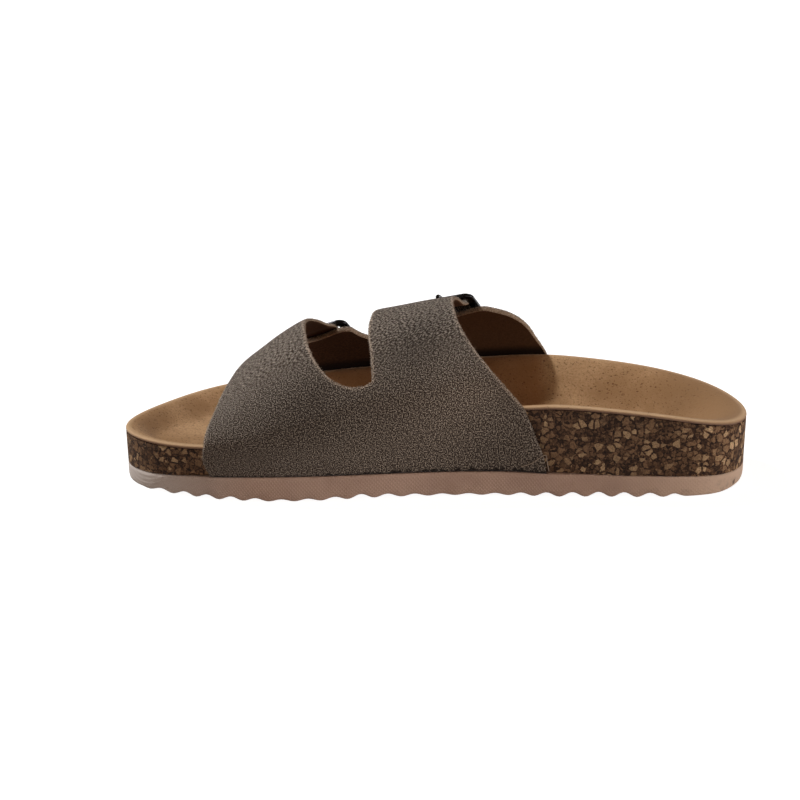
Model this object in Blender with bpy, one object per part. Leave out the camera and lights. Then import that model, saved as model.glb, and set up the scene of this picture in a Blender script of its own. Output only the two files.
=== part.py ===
"""Two-strap cork-footbed sandal for the right foot, as separate pieces at their real size.

Lengths are in millimetres until a mesh is made. +X points to the heel, -X to the toe, -Y is the
inner (medial) side, +Y the outer (lateral) side, and +Z is up from the floor at zero.
"""

import math

import bmesh
import bpy
import numpy as np
from mathutils import Vector, geometry

MM = 0.001
GAP = 0.3
SIDE_GAP = 0.45

# Driving dimensions of the sole
CORK_DRAFT = 1.6
END_DRAFT = 0.6
INSOLE_THICKNESS = 1.5
UPPER_FLARE = 2.5

# Driving dimensions of the straps
STRAP_THICKNESS = 1.8
QUARTER_GIRTH = 62.0
WALL_GIRTH = 20.0
MEDIAL_FULLNESS = 2.15

# Driving dimensions of the buckles
FRAME_WIDTH = 26.0
FRAME_LENGTH = 12.5
FRAME_BAR = 2.0
HEEL_BAR = 1.0
FRAME_THICKNESS = 0.9
PRONG_RADIUS = 0.7
TONGUE_WIDTH = 20.0
TONGUE_REACH = 22.0
FOLD_WALL = 0.9

# Plan of the footbed at its rim: landmark, x, y
OUTLINE = (
    ("toe tip", -129.3, -18.0),
    ("big toe", -119.5, -32.0),
    ("inner toe joint", -100.0, -41.0),
    ("inner ball", -66.0, -46.0),
    ("inner waist front", -18.0, -43.0),
    ("inner waist", 28.0, -39.5),
    ("inner heel", 88.0, -43.0),
    ("heel corner in", 120.0, -33.5),
    ("heel back", 129.2, -9.5),
    ("heel corner out", 118.0, 15.0),
    ("outer heel", 86.0, 26.5),
    ("outer waist", 25.0, 36.0),
    ("outer ball", -46.0, 49.5),
    ("little toe", -90.0, 42.5),
    ("outer toe", -117.0, 16.0),
)

# Height of the footbed's rim and of its bed along the shoe: x, rim z, bed z
HEIGHTS = (
    (-130.0, 22.3, 17.5),
    (-97.0, 22.5, 15.5),
    (-68.0, 24.3, 16.8),
    (-38.0, 27.8, 16.5),
    (0.0, 33.6, 20.0),
    (22.0, 37.0, 22.0),
    (46.0, 39.2, 22.5),
    (70.0, 38.2, 21.5),
    (90.0, 36.0, 20.5),
    (108.0, 32.8, 20.5),
    (121.0, 30.0, 21.0),
    (130.0, 28.0, 21.5),
)

# Outsole above the floor along the shoe: x, underside z, top z
OUTSOLE = (
    (-131.0, 0.9, 6.8),
    (-120.0, 0.1, 7.4),
    (-108.0, 0.0, 8.2),
    (-94.0, 0.0, 9.3),
    (-70.0, 0.0, 10.4),
    (-48.0, 0.0, 10.8),
    (-28.0, 0.7, 11.0),
    (0.0, 1.0, 11.0),
    (40.0, 0.7, 10.3),
    (66.0, 0.0, 9.6),
    (98.0, 0.0, 8.8),
    (116.0, 0.0, 7.9),
    (131.0, 1.1, 6.8),
)

# Top of the straps over the foot: x, ridge y, outer ridge z, fullness of the outer side
INSTEP = (
    (-105.0, -8.0, 29.0, 1.7),
    (-95.0, -6.0, 34.5, 1.65),
    (-88.0, -5.0, 38.8, 1.6),
    (-79.0, -4.0, 46.5, 1.5),
    (-66.0, -3.0, 57.1, 1.44),
    (-54.0, -2.0, 64.8, 1.42),
    (-40.0, -2.0, 67.2, 1.45),
    (-27.0, -2.5, 68.2, 1.56),
    (8.0, -4.0, 74.2, 1.76),
    (30.0, -5.0, 75.2, 1.78),
    (60.0, -6.0, 76.0, 1.78),
)

# Side wall of the outsole from its top edge down: inset, share of the height left
OUTSOLE_SIDE = ((0.0, 1.0), (0.2, 0.5), (0.7, 0.18), (1.8, 0.0))

# Tread: wavy grooves across the sole
GROOVE_PITCH = 10.69
GROOVE_WAVE = 2.2
GROOVE_WAVE_LENGTH = 43.0
GROOVE_FIRST, GROOVE_LAST = -116.5, 115.0
GROOVE_PROFILE = ((-5.2, -2.0), (-4.0, 0.0), (-1.1, 2.1), (1.1, 2.1), (4.0, 0.0), (5.2, -2.0))

# Shift that puts the middle of the whole sandal over the origin: x, y, z
PLACE = (0.29, -3.83, 0.0)

# Mesh density
TOE_CENTRE, HEEL_CENTRE = (-88.0, -1.0), (92.0, -8.0)
STATIONS = 27
FAN_RAYS = 17
RINGS = (1.0, 0.94, 0.84, 0.7, 0.42, 0.0)
STRAP_MESH = 6.5

# Buckles: place of the centre on the pattern (girth, x), turn of the strap towards the heel, height of
# the front bar off the foot
BUCKLES = {
    "front": {"girth": 47.0, "x": -49.5, "turn": math.radians(25.0), "front_bar": 4.8},
    "rear": {"girth": 34.5, "x": 3.4, "turn": math.radians(20.0), "front_bar": 3.5},
}
HEEL_BAR_AT = (FRAME_LENGTH / 2, 3.3)

# Height of the strap's underside over the foot along the buckle: distance past its centre, lift
OVER_BAR = ((4.0, 5.5), (6.6, 6.9), (9.2, 6.2), (12.5, 4.0), (16.5, 1.75), (30.0, 1.5))
TONGUE_LIFT = {
    "front": ((-26.0, 0.0), (-17.0, 0.2), (-9.5, 1.6), (-3.0, 1.8), (1.0, 3.4), *OVER_BAR),
    "rear": ((-26.0, 0.0), (-13.0, 0.0), (-6.25, 0.1), (0.0, 3.0), *OVER_BAR),
}


def smooth(rows, x, column=1):
    """Cubic curve through the rows of a table, read at x."""
    rows = np.array([[r[0], r[column]] for r in rows], float)
    xs, ys = rows.T
    slopes = np.gradient(ys, xs)
    x = np.clip(x, xs[0], xs[-1])
    i = np.clip(np.searchsorted(xs, x, side="right") - 1, 0, len(xs) - 2)
    step = xs[i + 1] - xs[i]
    u = (x - xs[i]) / step
    return (
        (2 * u**3 - 3 * u**2 + 1) * ys[i]
        + (u**3 - 2 * u**2 + u) * step * slopes[i]
        + (3 * u**2 - 2 * u**3) * ys[i + 1]
        + (u**3 - u**2) * step * slopes[i + 1]
    )


def ease(u):
    """Zero to one with flat ends."""
    u = np.clip(u, 0.0, 1.0)
    return u * u * (3 - 2 * u)


def closed_curve(points, per_span=40):
    """Smooth closed curve through points, as a dense polyline."""
    points = np.array(points, float)
    count = len(points)
    chords = np.linalg.norm(np.roll(points, -1, 0) - points, axis=1)
    system, right = np.zeros((count, count)), np.zeros((count, 2))
    for i in range(count):
        before, after = chords[i - 1], chords[i]
        system[i, i - 1] += after
        system[i, i] += 2 * (before + after)
        system[i, (i + 1) % count] += before
        rise_before = (points[i] - points[i - 1]) / before
        rise_after = (points[(i + 1) % count] - points[i]) / after
        right[i] = 3 * (after * rise_before + before * rise_after)
    slopes = np.linalg.solve(system, right)
    u = np.linspace(0, 1, per_span, endpoint=False)[:, None]
    spans = []
    for i in range(count):
        j, chord = (i + 1) % count, chords[i]
        spans.append(
            (2 * u**3 - 3 * u**2 + 1) * points[i]
            + (u**3 - 2 * u**2 + u) * chord * slopes[i]
            + (3 * u**2 - 2 * u**3) * points[j]
            + (u**3 - u**2) * chord * slopes[j]
        )
    return np.concatenate(spans)


def open_curve(points, spacing):
    """Smooth open curve through points, with a point about every spacing."""
    points = np.array(points, float)
    along = np.concatenate([[0], np.cumsum(np.linalg.norm(np.diff(points, axis=0), axis=1))])
    if len(points) == 2:
        count = max(2, round(along[-1] / spacing) + 1)
        return np.linspace(points[0], points[1], count)
    at = np.linspace(0, along[-1], max(3, round(along[-1] / spacing) + 1))
    return np.stack([smooth(np.stack([along, points[:, k]], 1), at) for k in range(2)], 1)


RIM = closed_curve([row[1:] for row in OUTLINE])
_toe, _heel = int(np.argmin(RIM[:, 0])), int(np.argmax(RIM[:, 0]))
_turned = np.roll(RIM, -_toe, 0)
_split = (_heel - _toe) % len(RIM)
MEDIAL_SIDE, LATERAL_SIDE = _turned[: _split + 1], _turned[_split:][::-1]


def side_y(x, side):
    """Y of the rim at x, on the medial (-1) or lateral (+1) side."""
    half = MEDIAL_SIDE if side < 0 else LATERAL_SIDE
    return np.interp(x, half[:, 0], half[:, 1])


def spine_y(x):
    """Y of the middle line between the toe's and the heel's centres."""
    return np.interp(x, (TOE_CENTRE[0], HEEL_CENTRE[0]), (TOE_CENTRE[1], HEEL_CENTRE[1]))


def fan(centre, start, stop):
    """Where rays from a centre meet the rim, between two directions."""
    offsets = RIM - np.array(centre)
    angles = np.unwrap(np.arctan2(offsets[:, 1], offsets[:, 0]))
    order = np.argsort(angles % (2 * math.pi))
    turned = (angles % (2 * math.pi))[order]
    reach = np.linalg.norm(offsets, axis=1)[order]
    at = np.linspace(start, stop, FAN_RAYS + 2)[1:-1]
    length = np.interp(at % (2 * math.pi), turned, reach, period=2 * math.pi)
    return np.array(centre) + length[:, None] * np.stack([np.cos(at), np.sin(at)], 1)


def perimeter():
    """Rim points round the shoe with the spine point that each one faces."""
    xs = np.linspace(TOE_CENTRE[0], HEEL_CENTRE[0], STATIONS)
    spine = np.stack([xs, spine_y(xs)], 1)
    medial = np.stack([xs, side_y(xs, -1)], 1)
    lateral = np.stack([xs, side_y(xs, 1)], 1)[::-1]
    heel = fan(HEEL_CENTRE, math.radians(-90), math.radians(90))
    toe = fan(TOE_CENTRE, math.radians(90), math.radians(270))
    rim = np.concatenate([medial, heel, lateral, toe])
    facing = np.concatenate(
        [spine, np.tile(HEEL_CENTRE, (FAN_RAYS, 1)), spine[::-1], np.tile(TOE_CENTRE, (FAN_RAYS, 1))]
    )
    return rim, facing


EDGE, FACING = perimeter()


def outward(points):
    """Outward normals of a closed polyline that runs anticlockwise from above."""
    along = np.roll(points, -1, 0) - np.roll(points, 1, 0)
    along /= np.linalg.norm(along, axis=1)[:, None]
    return np.stack([along[:, 1], -along[:, 0]], 1)


OUT = outward(EDGE)


def bed_height(points, inset):
    """Top of the footbed: a dished bed in a raised rim, with a toe ridge and a pad."""
    x, y = points[:, 0], points[:, 1]
    rim, bed = smooth(HEIGHTS, x, 1), smooth(HEIGHTS, x, 2)
    slope = np.interp(x, (-130, -90, 60, 130), (13.0, 15.0, 24.0, 24.0))
    rise = 1 - ease((inset - 1.5) / slope)
    ridge = 1.6 * np.exp(-(((x + 78 - 0.12 * y) / 7.0) ** 2)) * ease((inset - 6) / 12)
    pad = 2.2 * np.exp(-(((x + 14) / 17.0) ** 2) - (((y - 2) / 15.0) ** 2))
    arch = 4.0 * np.exp(-(((x - 22) / 34.0) ** 2)) * ease((-y - 2) / 34.0) * (1 - rise)
    return bed + (rim - bed) * rise + ridge + pad + arch


def bed_rings(drop):
    """Rings of footbed points from the rim in to the spine, lowered by drop."""
    rings = []
    for share in RINGS:
        plan = FACING + (EDGE - FACING) * share
        inset = np.linalg.norm(EDGE - FACING, axis=1) * (1 - share)
        rings.append(np.column_stack([plan, bed_height(plan, inset) - drop]))
    return rings


def outsole_under(x):
    """Height of the outsole's underside over the floor."""
    return np.maximum(smooth(OUTSOLE, x, 1), 0.0)


def outsole_top(x):
    """Height of the joint between cork and outsole."""
    return smooth(OUTSOLE, x, 2)


def draft(x):
    """How far the cork's wall draws in from rim to outsole, less at the toe's and heel's ends."""
    return CORK_DRAFT + (END_DRAFT - CORK_DRAFT) * (ease((-98 - x) / 20.0) + ease((x - 98) / 20.0))


def flare(x):
    """How far the outsole stands out beside the straps, flush with the cork at toe and heel."""
    return UPPER_FLARE * ease((x + 112) / 24.0) * ease((70 - x) / 26.0)


def flat_rings(edge, height, shares):
    """Rings of points inside an edge at the height that a function of x gives."""
    rings = []
    for share in shares:
        plan = FACING + (edge - FACING) * share
        rings.append(np.column_stack([plan, height(plan[:, 0])]))
    return rings


def material(name, colour, roughness, metallic=0.0):
    made = bpy.data.materials.new(name)
    made.use_nodes = True
    shader = made.node_tree.nodes["Principled BSDF"]
    shader.inputs["Base Color"].default_value = (*colour, 1.0)
    shader.inputs["Roughness"].default_value = roughness
    shader.inputs["Metallic"].default_value = metallic
    return made


def add_object(name, vertices, faces, finish):
    """Mesh object from millimetre points, welded, with its faces pointing out."""
    mesh = bpy.data.meshes.new(name)
    placed = (np.array(vertices) + PLACE) * MM
    mesh.from_pydata([tuple(v) for v in placed.tolist()], [], faces)
    work = bmesh.new()
    work.from_mesh(mesh)
    bmesh.ops.remove_doubles(work, verts=work.verts, dist=1e-6)
    bmesh.ops.dissolve_degenerate(work, edges=work.edges, dist=1e-7)
    bmesh.ops.recalc_face_normals(work, faces=work.faces)
    work.to_mesh(mesh)
    work.free()
    mesh.shade_smooth()
    mesh.set_sharp_from_angle(angle=math.radians(40))
    if finish:
        mesh.materials.append(finish)
    made = bpy.data.objects.new(name, mesh)
    bpy.context.scene.collection.objects.link(made)
    return made


def add_rings(name, rings, finish):
    """Closed solid from a stack of rings that starts and ends on the spine."""
    count = len(rings[0])
    faces = []
    for k in range(len(rings) - 1):
        for i in range(count):
            j = (i + 1) % count
            faces.append((k * count + i, k * count + j, (k + 1) * count + j, (k + 1) * count + i))
    points = np.concatenate(rings)
    halves = []
    for a, b, c, d in faces:
        if points[a][2] + points[c][2] >= points[b][2] + points[d][2]:
            halves += [(a, b, c), (a, c, d)]
        else:
            halves += [(b, c, d), (b, d, a)]
    return add_object(name, points, halves, finish)


def cutter(made):
    made.hide_render = True
    made.display_type = "WIRE"
    return made


def boolean(target, other, operation):
    step = target.modifiers.new(f"{operation.lower()} {other.name}", "BOOLEAN")
    step.operation = operation
    step.solver = "EXACT"
    step.object = cutter(other)


def build_insole(finish):
    top = bed_rings(0.0)
    bottom = bed_rings(INSOLE_THICKNESS)
    return add_rings("insole", top[::-1] + bottom, finish)


def build_cork(finish):
    top = bed_rings(INSOLE_THICKNESS + GAP)
    foot = EDGE - OUT * draft(EDGE[:, 0])[:, None]
    base = flat_rings(foot, lambda x: outsole_top(x) + GAP, (1.0, 0.5, 0.0))
    return add_rings("cork_midsole", top[::-1] + base, finish)


def tread_grooves():
    """Wavy grooves across the sole, each following the spring of its underside."""
    vertices, faces = [], []
    ys = np.linspace(-1.25, 1.25, 11) * GROOVE_WAVE_LENGTH
    profile = np.array(GROOVE_PROFILE)
    count = len(profile)
    for x in np.arange(GROOVE_FIRST, GROOVE_LAST, GROOVE_PITCH):
        base = len(vertices)
        for y in ys:
            bend = GROOVE_WAVE * math.sin(2 * math.pi * y / GROOVE_WAVE_LENGTH)
            xs = x + bend + profile[:, 0]
            zs = outsole_under(np.full(count, x + bend)) + profile[:, 1]
            vertices += [(xs[k], y, zs[k]) for k in range(count)]
        for row in range(len(ys) - 1):
            for k in range(count):
                n = (k + 1) % count
                a, b = base + row * count, base + (row + 1) * count
                faces.append((a + k, a + n, b + n, b + k))
        faces.append(tuple(range(base, base + count)))
        last = base + (len(ys) - 1) * count
        faces.append(tuple(range(last + count - 1, last - 1, -1)))
    return add_object("tread_grooves", vertices, faces, None)


def build_outsole(finish):
    top_edge = EDGE - OUT * (draft(EDGE[:, 0]) - flare(EDGE[:, 0]))[:, None]
    rings = flat_rings(top_edge, outsole_top, (0.0, 0.5, 1.0))
    for inset, share in OUTSOLE_SIDE[1:]:
        plan = top_edge - OUT * inset
        low = outsole_under(plan[:, 0])
        rings.append(np.column_stack([plan, low + (outsole_top(plan[:, 0]) - low) * share]))
    sole_edge = top_edge - OUT * OUTSOLE_SIDE[-1][0]
    rings += flat_rings(sole_edge, outsole_under, (0.8, 0.4, 0.0))
    made = add_rings("outsole", rings, finish)
    boolean(made, tread_grooves(), "DIFFERENCE")
    return made


def section(x, side):
    """One side of the strap's inner line over the foot at x, from the ridge down to the sole."""
    rim = smooth(HEIGHTS, x, 1)
    ridge_y, ridge_z = smooth(INSTEP, x, 1), smooth(INSTEP, x, 2) - STRAP_THICKNESS
    wall = side_y(x, side) + side * SIDE_GAP
    power = 2 / (MEDIAL_FULLNESS if side < 0 else smooth(INSTEP, x, 3))
    angle = np.linspace(0, math.pi / 2, 49)
    ys = ridge_y + (wall - ridge_y) * np.sin(angle) ** power
    zs = rim + (ridge_z - rim) * np.abs(np.cos(angle)) ** power
    along = np.concatenate([[0], np.cumsum(np.hypot(np.diff(ys), np.diff(zs)))])
    foot = (wall - side * CORK_DRAFT, outsole_top(x) + GAP)
    return ys, zs, along / along[-1], (wall, rim), foot


def wall_point(girth, x):
    """Point of the strap's inner face at a girth from the ridge (negative is medial) and x."""
    side = -1 if girth < 0 else 1
    ys, zs, along, rim, foot = section(x, side)
    share = abs(girth) / QUARTER_GIRTH
    if share <= 1:
        return np.array([x, np.interp(share, along, ys), np.interp(share, along, zs)])
    down = (abs(girth) - QUARTER_GIRTH) / WALL_GIRTH
    return np.array([x, rim[0] + (foot[0] - rim[0]) * down, rim[1] + (foot[1] - rim[1]) * down])


def wall_frame(girth, x, step=1.5):
    """Point, outward normal and the direction of growing girth on the strap's inner face."""
    sole = QUARTER_GIRTH + WALL_GIRTH
    low, high = max(girth - step, -sole), min(girth + step, sole)
    across = wall_point(high, x) - wall_point(low, x)
    along = wall_point(girth, x + step) - wall_point(girth, x - step)
    normal = np.cross(along, across)
    return (
        wall_point(girth, x),
        normal / np.linalg.norm(normal),
        across / np.linalg.norm(across),
    )


class Buckle:
    """Local axes of a buckle: along the strap (d), across it (w) and off the foot (n)."""

    def __init__(self, girth, x, turn, front_bar):
        self.girth, self.x, self.turn, self.front_bar = girth, x, turn, front_bar
        self.origin, self.n, across = wall_frame(girth, x)
        back = np.cross(across, self.n)
        back *= np.sign(back[0])
        self.d = across * math.cos(turn) + back * math.sin(turn)
        self.w = np.cross(self.n, self.d)
        self.w *= np.sign(self.w[0])

    def pattern(self, a, b):
        """Pattern point (girth, x) at a along the strap and b across it."""
        c, s = math.cos(self.turn), math.sin(self.turn)
        return (self.girth + a * c - b * s, self.x + a * s + b * c)

    def space(self, a, b, h):
        """Point in space at a along the strap, b across it and h off the foot."""
        return self.origin + self.d * a + self.w * b + self.n * h

    def along(self, point):
        return float(np.dot(point - self.origin, self.d))


BUCKLE = {name: Buckle(**row) for name, row in BUCKLES.items()}


def girth(share):
    """Pattern girth of a share: 0 at the ridge, 1 at the footbed's rim, 2 at the sole."""
    size = min(abs(share), 1) * QUARTER_GIRTH + max(abs(share) - 1, 0) * WALL_GIRTH
    return math.copysign(size, share)


def edge(rows):
    return [(girth(share), x) for share, x in rows]


# Edges of the inner piece, from share of girth and x
INNER_FRONT_EDGE = (
    (-2.0, -93.0),
    (-1.7, -94.8),
    (-1.3, -95.8),
    (-1.0, -95.5),
    (-0.6, -91.5),
    (-0.1, -86.2),
    (0.15, -81.5),
    (0.36, -73.5),
)
INNER_GAP = (
    (0.0, -54.6),
    (-0.19, -54.2),
    (-0.37, -52.5),
    (-0.53, -48.6),
    (-0.63, -43.4),
    (-0.69, -36.0),
    (-0.697, -30.5),
)
INNER_GAP_CORNER = (
    (-0.672, -26.9),
    (-0.5, -27.4),
    (-0.3, -28.4),
    (-0.1, -27.6),
    (0.08, -25.2),
    (0.2, -20.0),
)
INNER_BACK_EDGE = (
    (0.0, 6.6),
    (-0.16, 7.0),
    (-0.29, 8.2),
    (-0.42, 11.0),
    (-0.52, 14.0),
    (-0.68, 20.3),
    (-0.89, 28.7),
    (-1.0, 33.0),
    (-1.5, 39.6),
    (-2.0, 45.6),
)

# Edge of the outer piece over both arms, from the toe's side to the heel's
OUTER_EDGE = (
    (2.0, -83.0),
    (1.0, -77.5),
    (0.86, -74.0),
    (0.74, -69.5),
    (0.675, -63.5),
    (0.655, -57.0),
    (0.645, -50.5),
    (0.613, -46.0),
    (0.585, -42.7),
    (0.565, -39.5),
    (0.575, -36.7),
    (0.637, -34.3),
    (0.694, -32.0),
    (0.742, -29.0),
    (0.82, -24.5),
    (0.89, -19.0),
    (0.92, -12.8),
    (0.88, -7.0),
    (0.79, -4.2),
    (0.69, -2.0),
    (0.625, 1.0),
    (0.597, 5.0),
    (0.581, 9.5),
    (0.548, 14.5),
    (0.52, 19.5),
    (0.524, 22.0),
    (0.54, 24.5),
    (0.581, 29.5),
    (0.661, 35.0),
    (0.742, 38.9),
    (0.863, 42.9),
    (1.0, 47.6),
    (2.0, 52.0),
)


def tongue(buckle):
    """Strap end that passes through the buckle: a band with a round tip."""
    half = TONGUE_WIDTH / 2
    sides = [buckle.pattern(a, -half) for a in (-10.0, 8.0, TONGUE_REACH - 6)]
    tip = [
        buckle.pattern(TONGUE_REACH - 6 + 6 * math.sin(k), -half * math.cos(k))
        for k in np.linspace(0.25, math.pi - 0.25, 6)
    ]
    back = [buckle.pattern(a, half) for a in (TONGUE_REACH - 6, 8.0, -9.0)]
    return sides, tip, back


def joined(*runs):
    """One closed outline from runs that are each smooth, with a corner where two meet."""
    spacing = STRAP_MESH * 0.75
    points = []
    for run in runs:
        curve = open_curve(run, spacing)
        points += [tuple(p) for p in curve[:-1]]
    return with_rim_points(points)


def with_rim_points(points):
    """The same outline with a point wherever it crosses the footbed's rim."""
    kept = []
    for here, after in zip(points, points[1:] + points[:1]):
        kept.append(here)
        for rim in (-QUARTER_GIRTH, QUARTER_GIRTH):
            share = (rim - here[0]) / (after[0] - here[0]) if after[0] != here[0] else 0.0
            if 0.05 < share < 0.95:
                kept.append((rim, here[1] + (after[1] - here[1]) * share))
    return kept


def inner_outline():
    front, rear = tongue(BUCKLE["front"]), tongue(BUCKLE["rear"])
    front_up = edge(INNER_FRONT_EDGE) + front[0]
    front_down = front[2] + edge(INNER_GAP)
    rear_up = edge(INNER_GAP_CORNER) + rear[0]
    rear_down = rear[2] + edge(INNER_BACK_EDGE)
    runs = [
        front_up,
        [front_up[-1], *front[1], front_down[0]],
        front_down,
        [front_down[-1], rear_up[0]],
        rear_up,
        [rear_up[-1], *rear[1], rear_down[0]],
        rear_down,
        [rear_down[-1], front_up[0]],
    ]
    return joined(*runs)


def outer_outline():
    arms = edge(OUTER_EDGE)
    return joined(arms, [arms[-1], arms[0]])


def fill_pattern(outline, rows_over_bars):
    """Triangles that fill a flat outline, with an even scatter of points and given rows inside it."""
    outline = np.array(outline)
    kept = np.array([*outline, *rows_over_bars])
    low, high = outline.min(0), outline.max(0)
    rows = np.arange(-15, 16) * QUARTER_GIRTH / 11
    inside = []
    for k, across in enumerate(rows):
        for x in np.arange(low[1] + (k % 2) * STRAP_MESH / 2, high[1], STRAP_MESH):
            inside.append((across, x))
    inside = np.array(inside)
    a, b = outline, np.roll(outline, -1, 0)
    crossing = (a[:, 1] > inside[:, None, 1]) != (b[:, 1] > inside[:, None, 1])
    with np.errstate(divide="ignore", invalid="ignore"):
        at = (b[:, 0] - a[:, 0]) * (inside[:, None, 1] - a[:, 1]) / (b[:, 1] - a[:, 1]) + a[:, 0]
    within = (crossing & (inside[:, None, 0] < at)).sum(1) % 2 == 1
    apart = np.linalg.norm(inside[:, None] - kept[None], axis=2).min(1) > STRAP_MESH * 0.55
    points = np.concatenate([kept, inside[within & apart]])
    loop = list(range(len(outline)))
    found = geometry.delaunay_2d_cdt([Vector(p) for p in points], [], [loop], 1, 1e-5)
    return np.array([tuple(v) for v in found[0]]), [tuple(f) for f in found[2]]


def add_wall(name, outline, lift, finish, rows_over_bars=()):
    """Strap piece of even thickness over its flat outline, lifted off the foot as a function says."""
    pattern, triangles = fill_pattern(outline, rows_over_bars)
    inner, outer = [], []
    for across, x in pattern:
        point, normal, _ = wall_frame(across, x)
        rise = lift(point, x)
        inner.append(point + normal * rise)
        outer.append(point + normal * (rise + STRAP_THICKNESS))
    count = len(pattern)
    faces = [(a, b, c) for a, b, c in triangles]
    faces += [(c + count, b + count, a + count) for a, b, c in triangles]
    used = {}
    for a, b, c in triangles:
        for pair in ((a, b), (b, c), (c, a)):
            used[tuple(sorted(pair))] = None if tuple(sorted(pair)) in used else pair
    faces += [(b, a, a + count, b + count) for a, b in filter(None, used.values())]
    return add_object(name, np.array(inner + outer), faces, finish)


def tongue_lift(point, x):
    """Lift of the inner piece, over the outer arm near the buckle that it passes."""
    name = "front" if x < -24 else "rear"
    return float(smooth(TONGUE_LIFT[name], BUCKLE[name].along(point)))


def tube(name, path, radius, finish, sides=8, closed=False, wide=None, up=None):
    """Bar along a path; wide gives its half width in the plane square to up, point by point."""
    path = np.array(path, float)
    count = len(path)
    wide = np.full(count, radius) if wide is None else np.array(wide)
    vertices, faces = [], []
    for i in range(count):
        before = path[i - 1] if closed or i else path[i]
        after = path[(i + 1) % count] if closed or i < count - 1 else path[i]
        along = (after - before) / np.linalg.norm(after - before)
        beside = np.cross(up, along)
        beside /= np.linalg.norm(beside)
        over = np.cross(along, beside)
        for k in range(sides):
            angle = 2 * math.pi * (k + 0.5) / sides
            spread = beside * wide[i] * math.cos(angle) + over * radius * math.sin(angle)
            vertices.append(path[i] + spread)
    for i in range(count if closed else count - 1):
        a, b = i * sides, ((i + 1) % count) * sides
        faces += [(a + k, a + (k + 1) % sides, b + (k + 1) % sides, b + k) for k in range(sides)]
    if not closed:
        faces += [tuple(range(sides)), tuple(range(count * sides - 1, (count - 1) * sides - 1, -1))]
    return add_object(name, np.array(vertices), faces, finish)


def frame_path():
    """Centre line of the buckle's frame as (along, across) with the half width of the bar there."""
    half_a, half_b, corner = FRAME_LENGTH / 2, FRAME_WIDTH / 2, 2.2
    path, wide = [], []
    for sign_a, sign_b, start in ((-1, -1, 270), (-1, 1, 180), (1, 1, 90), (1, -1, 360)):
        centre = (sign_a * (half_a - corner), sign_b * (half_b - corner))
        for angle in np.radians(np.linspace(start, start - 90, 4)):
            path.append((centre[0] + corner * math.cos(angle), centre[1] + corner * math.sin(angle)))
            wide.append(FRAME_BAR)
    inner = TONGUE_WIDTH / 2 + 0.5
    for b in (inner, -inner):
        path.insert(len(path) - 4, (half_a, b))
        wide.insert(len(wide) - 4, HEEL_BAR)
    return path, wide


def frame_height(buckle, a):
    """Height of the flat frame off the foot at a along the strap."""
    heel, heel_h = HEEL_BAR_AT
    return buckle.front_bar + (heel_h - buckle.front_bar) * (a + heel) / (2 * heel)


def prong_path(buckle):
    """Centre line of the prong as (along, height), from the heel bar over to the front bar."""
    hook = HEEL_BAR + GAP + PRONG_RADIUS
    bar, height = HEEL_BAR_AT
    angles = np.radians(np.linspace(-100, 110, 8))
    path = [(bar + hook * math.cos(k), height + hook * math.sin(k)) for k in angles]
    over = buckle.front_bar + FRAME_THICKNESS + GAP + PRONG_RADIUS
    return path + [(3.9, 7.0), (2.0, 7.9), (-2.5, over + 0.7), (-bar, over), (-bar - 2.0, over - 0.5)]


def build_buckle(name, finish):
    buckle = BUCKLE[name]
    path, wide = frame_path()
    points = [buckle.space(a, b, frame_height(buckle, a)) for a, b in path]
    size = {"closed": True, "wide": wide, "up": buckle.n}
    frame = tube(f"buckle_frame_{name}", points, FRAME_THICKNESS, finish, **size)
    points = [buckle.space(a, 0.0, h) for a, h in prong_path(buckle)]
    prong = tube(f"buckle_prong_{name}", points, PRONG_RADIUS, finish, up=buckle.w)
    return frame, prong


def cylinder_between(name, start, stop, radius, up, sides=16):
    return tube(name, [start, stop], radius, None, sides=sides, up=up)


def build_upper(finish):
    rows = [
        buckle.pattern(along, across)
        for buckle in BUCKLE.values()
        for along in (3.5, 6.6, 9.7)
        for across in (-7.0, -2.4, 2.4, 7.0)
    ]
    upper = add_wall("upper", inner_outline(), tongue_lift, finish, rows)
    boolean(upper, add_wall("outer_piece", outer_outline(), lambda point, x: 0.0, None), "UNION")
    bar, height = HEEL_BAR_AT
    half = TONGUE_WIDTH / 2 - 0.8
    for name, buckle in BUCKLE.items():
        ends = [buckle.space(bar, b, height) for b in (-half, half)]
        fold = cylinder_between(f"fold_{name}", *ends, HEEL_BAR + GAP + FOLD_WALL, buckle.n)
        boolean(upper, fold, "UNION")
    slit_half, slit_radius = PRONG_RADIUS + 0.4, 3.2
    hole_radius = PRONG_RADIUS + 0.6
    for name, buckle in BUCKLE.items():
        ends = [buckle.space(bar, b, height) for b in (-half - 3, half + 3)]
        bore = cylinder_between(f"bore_{name}", *ends, HEEL_BAR + GAP, buckle.n)
        boolean(upper, bore, "DIFFERENCE")
        ends = [buckle.space(bar, b, height - 0.8) for b in (-slit_half, slit_half)]
        slit = cylinder_between(f"slit_{name}", *ends, slit_radius, buckle.n)
        boolean(upper, slit, "DIFFERENCE")
        ends = [buckle.space(7.0, 0.0, 3.95), buckle.space(1.8, 0.0, 8.95)]
        hole = cylinder_between(f"hole_{name}", *ends, hole_radius, buckle.w, sides=10)
        boolean(upper, hole, "DIFFERENCE")
    return upper


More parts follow.
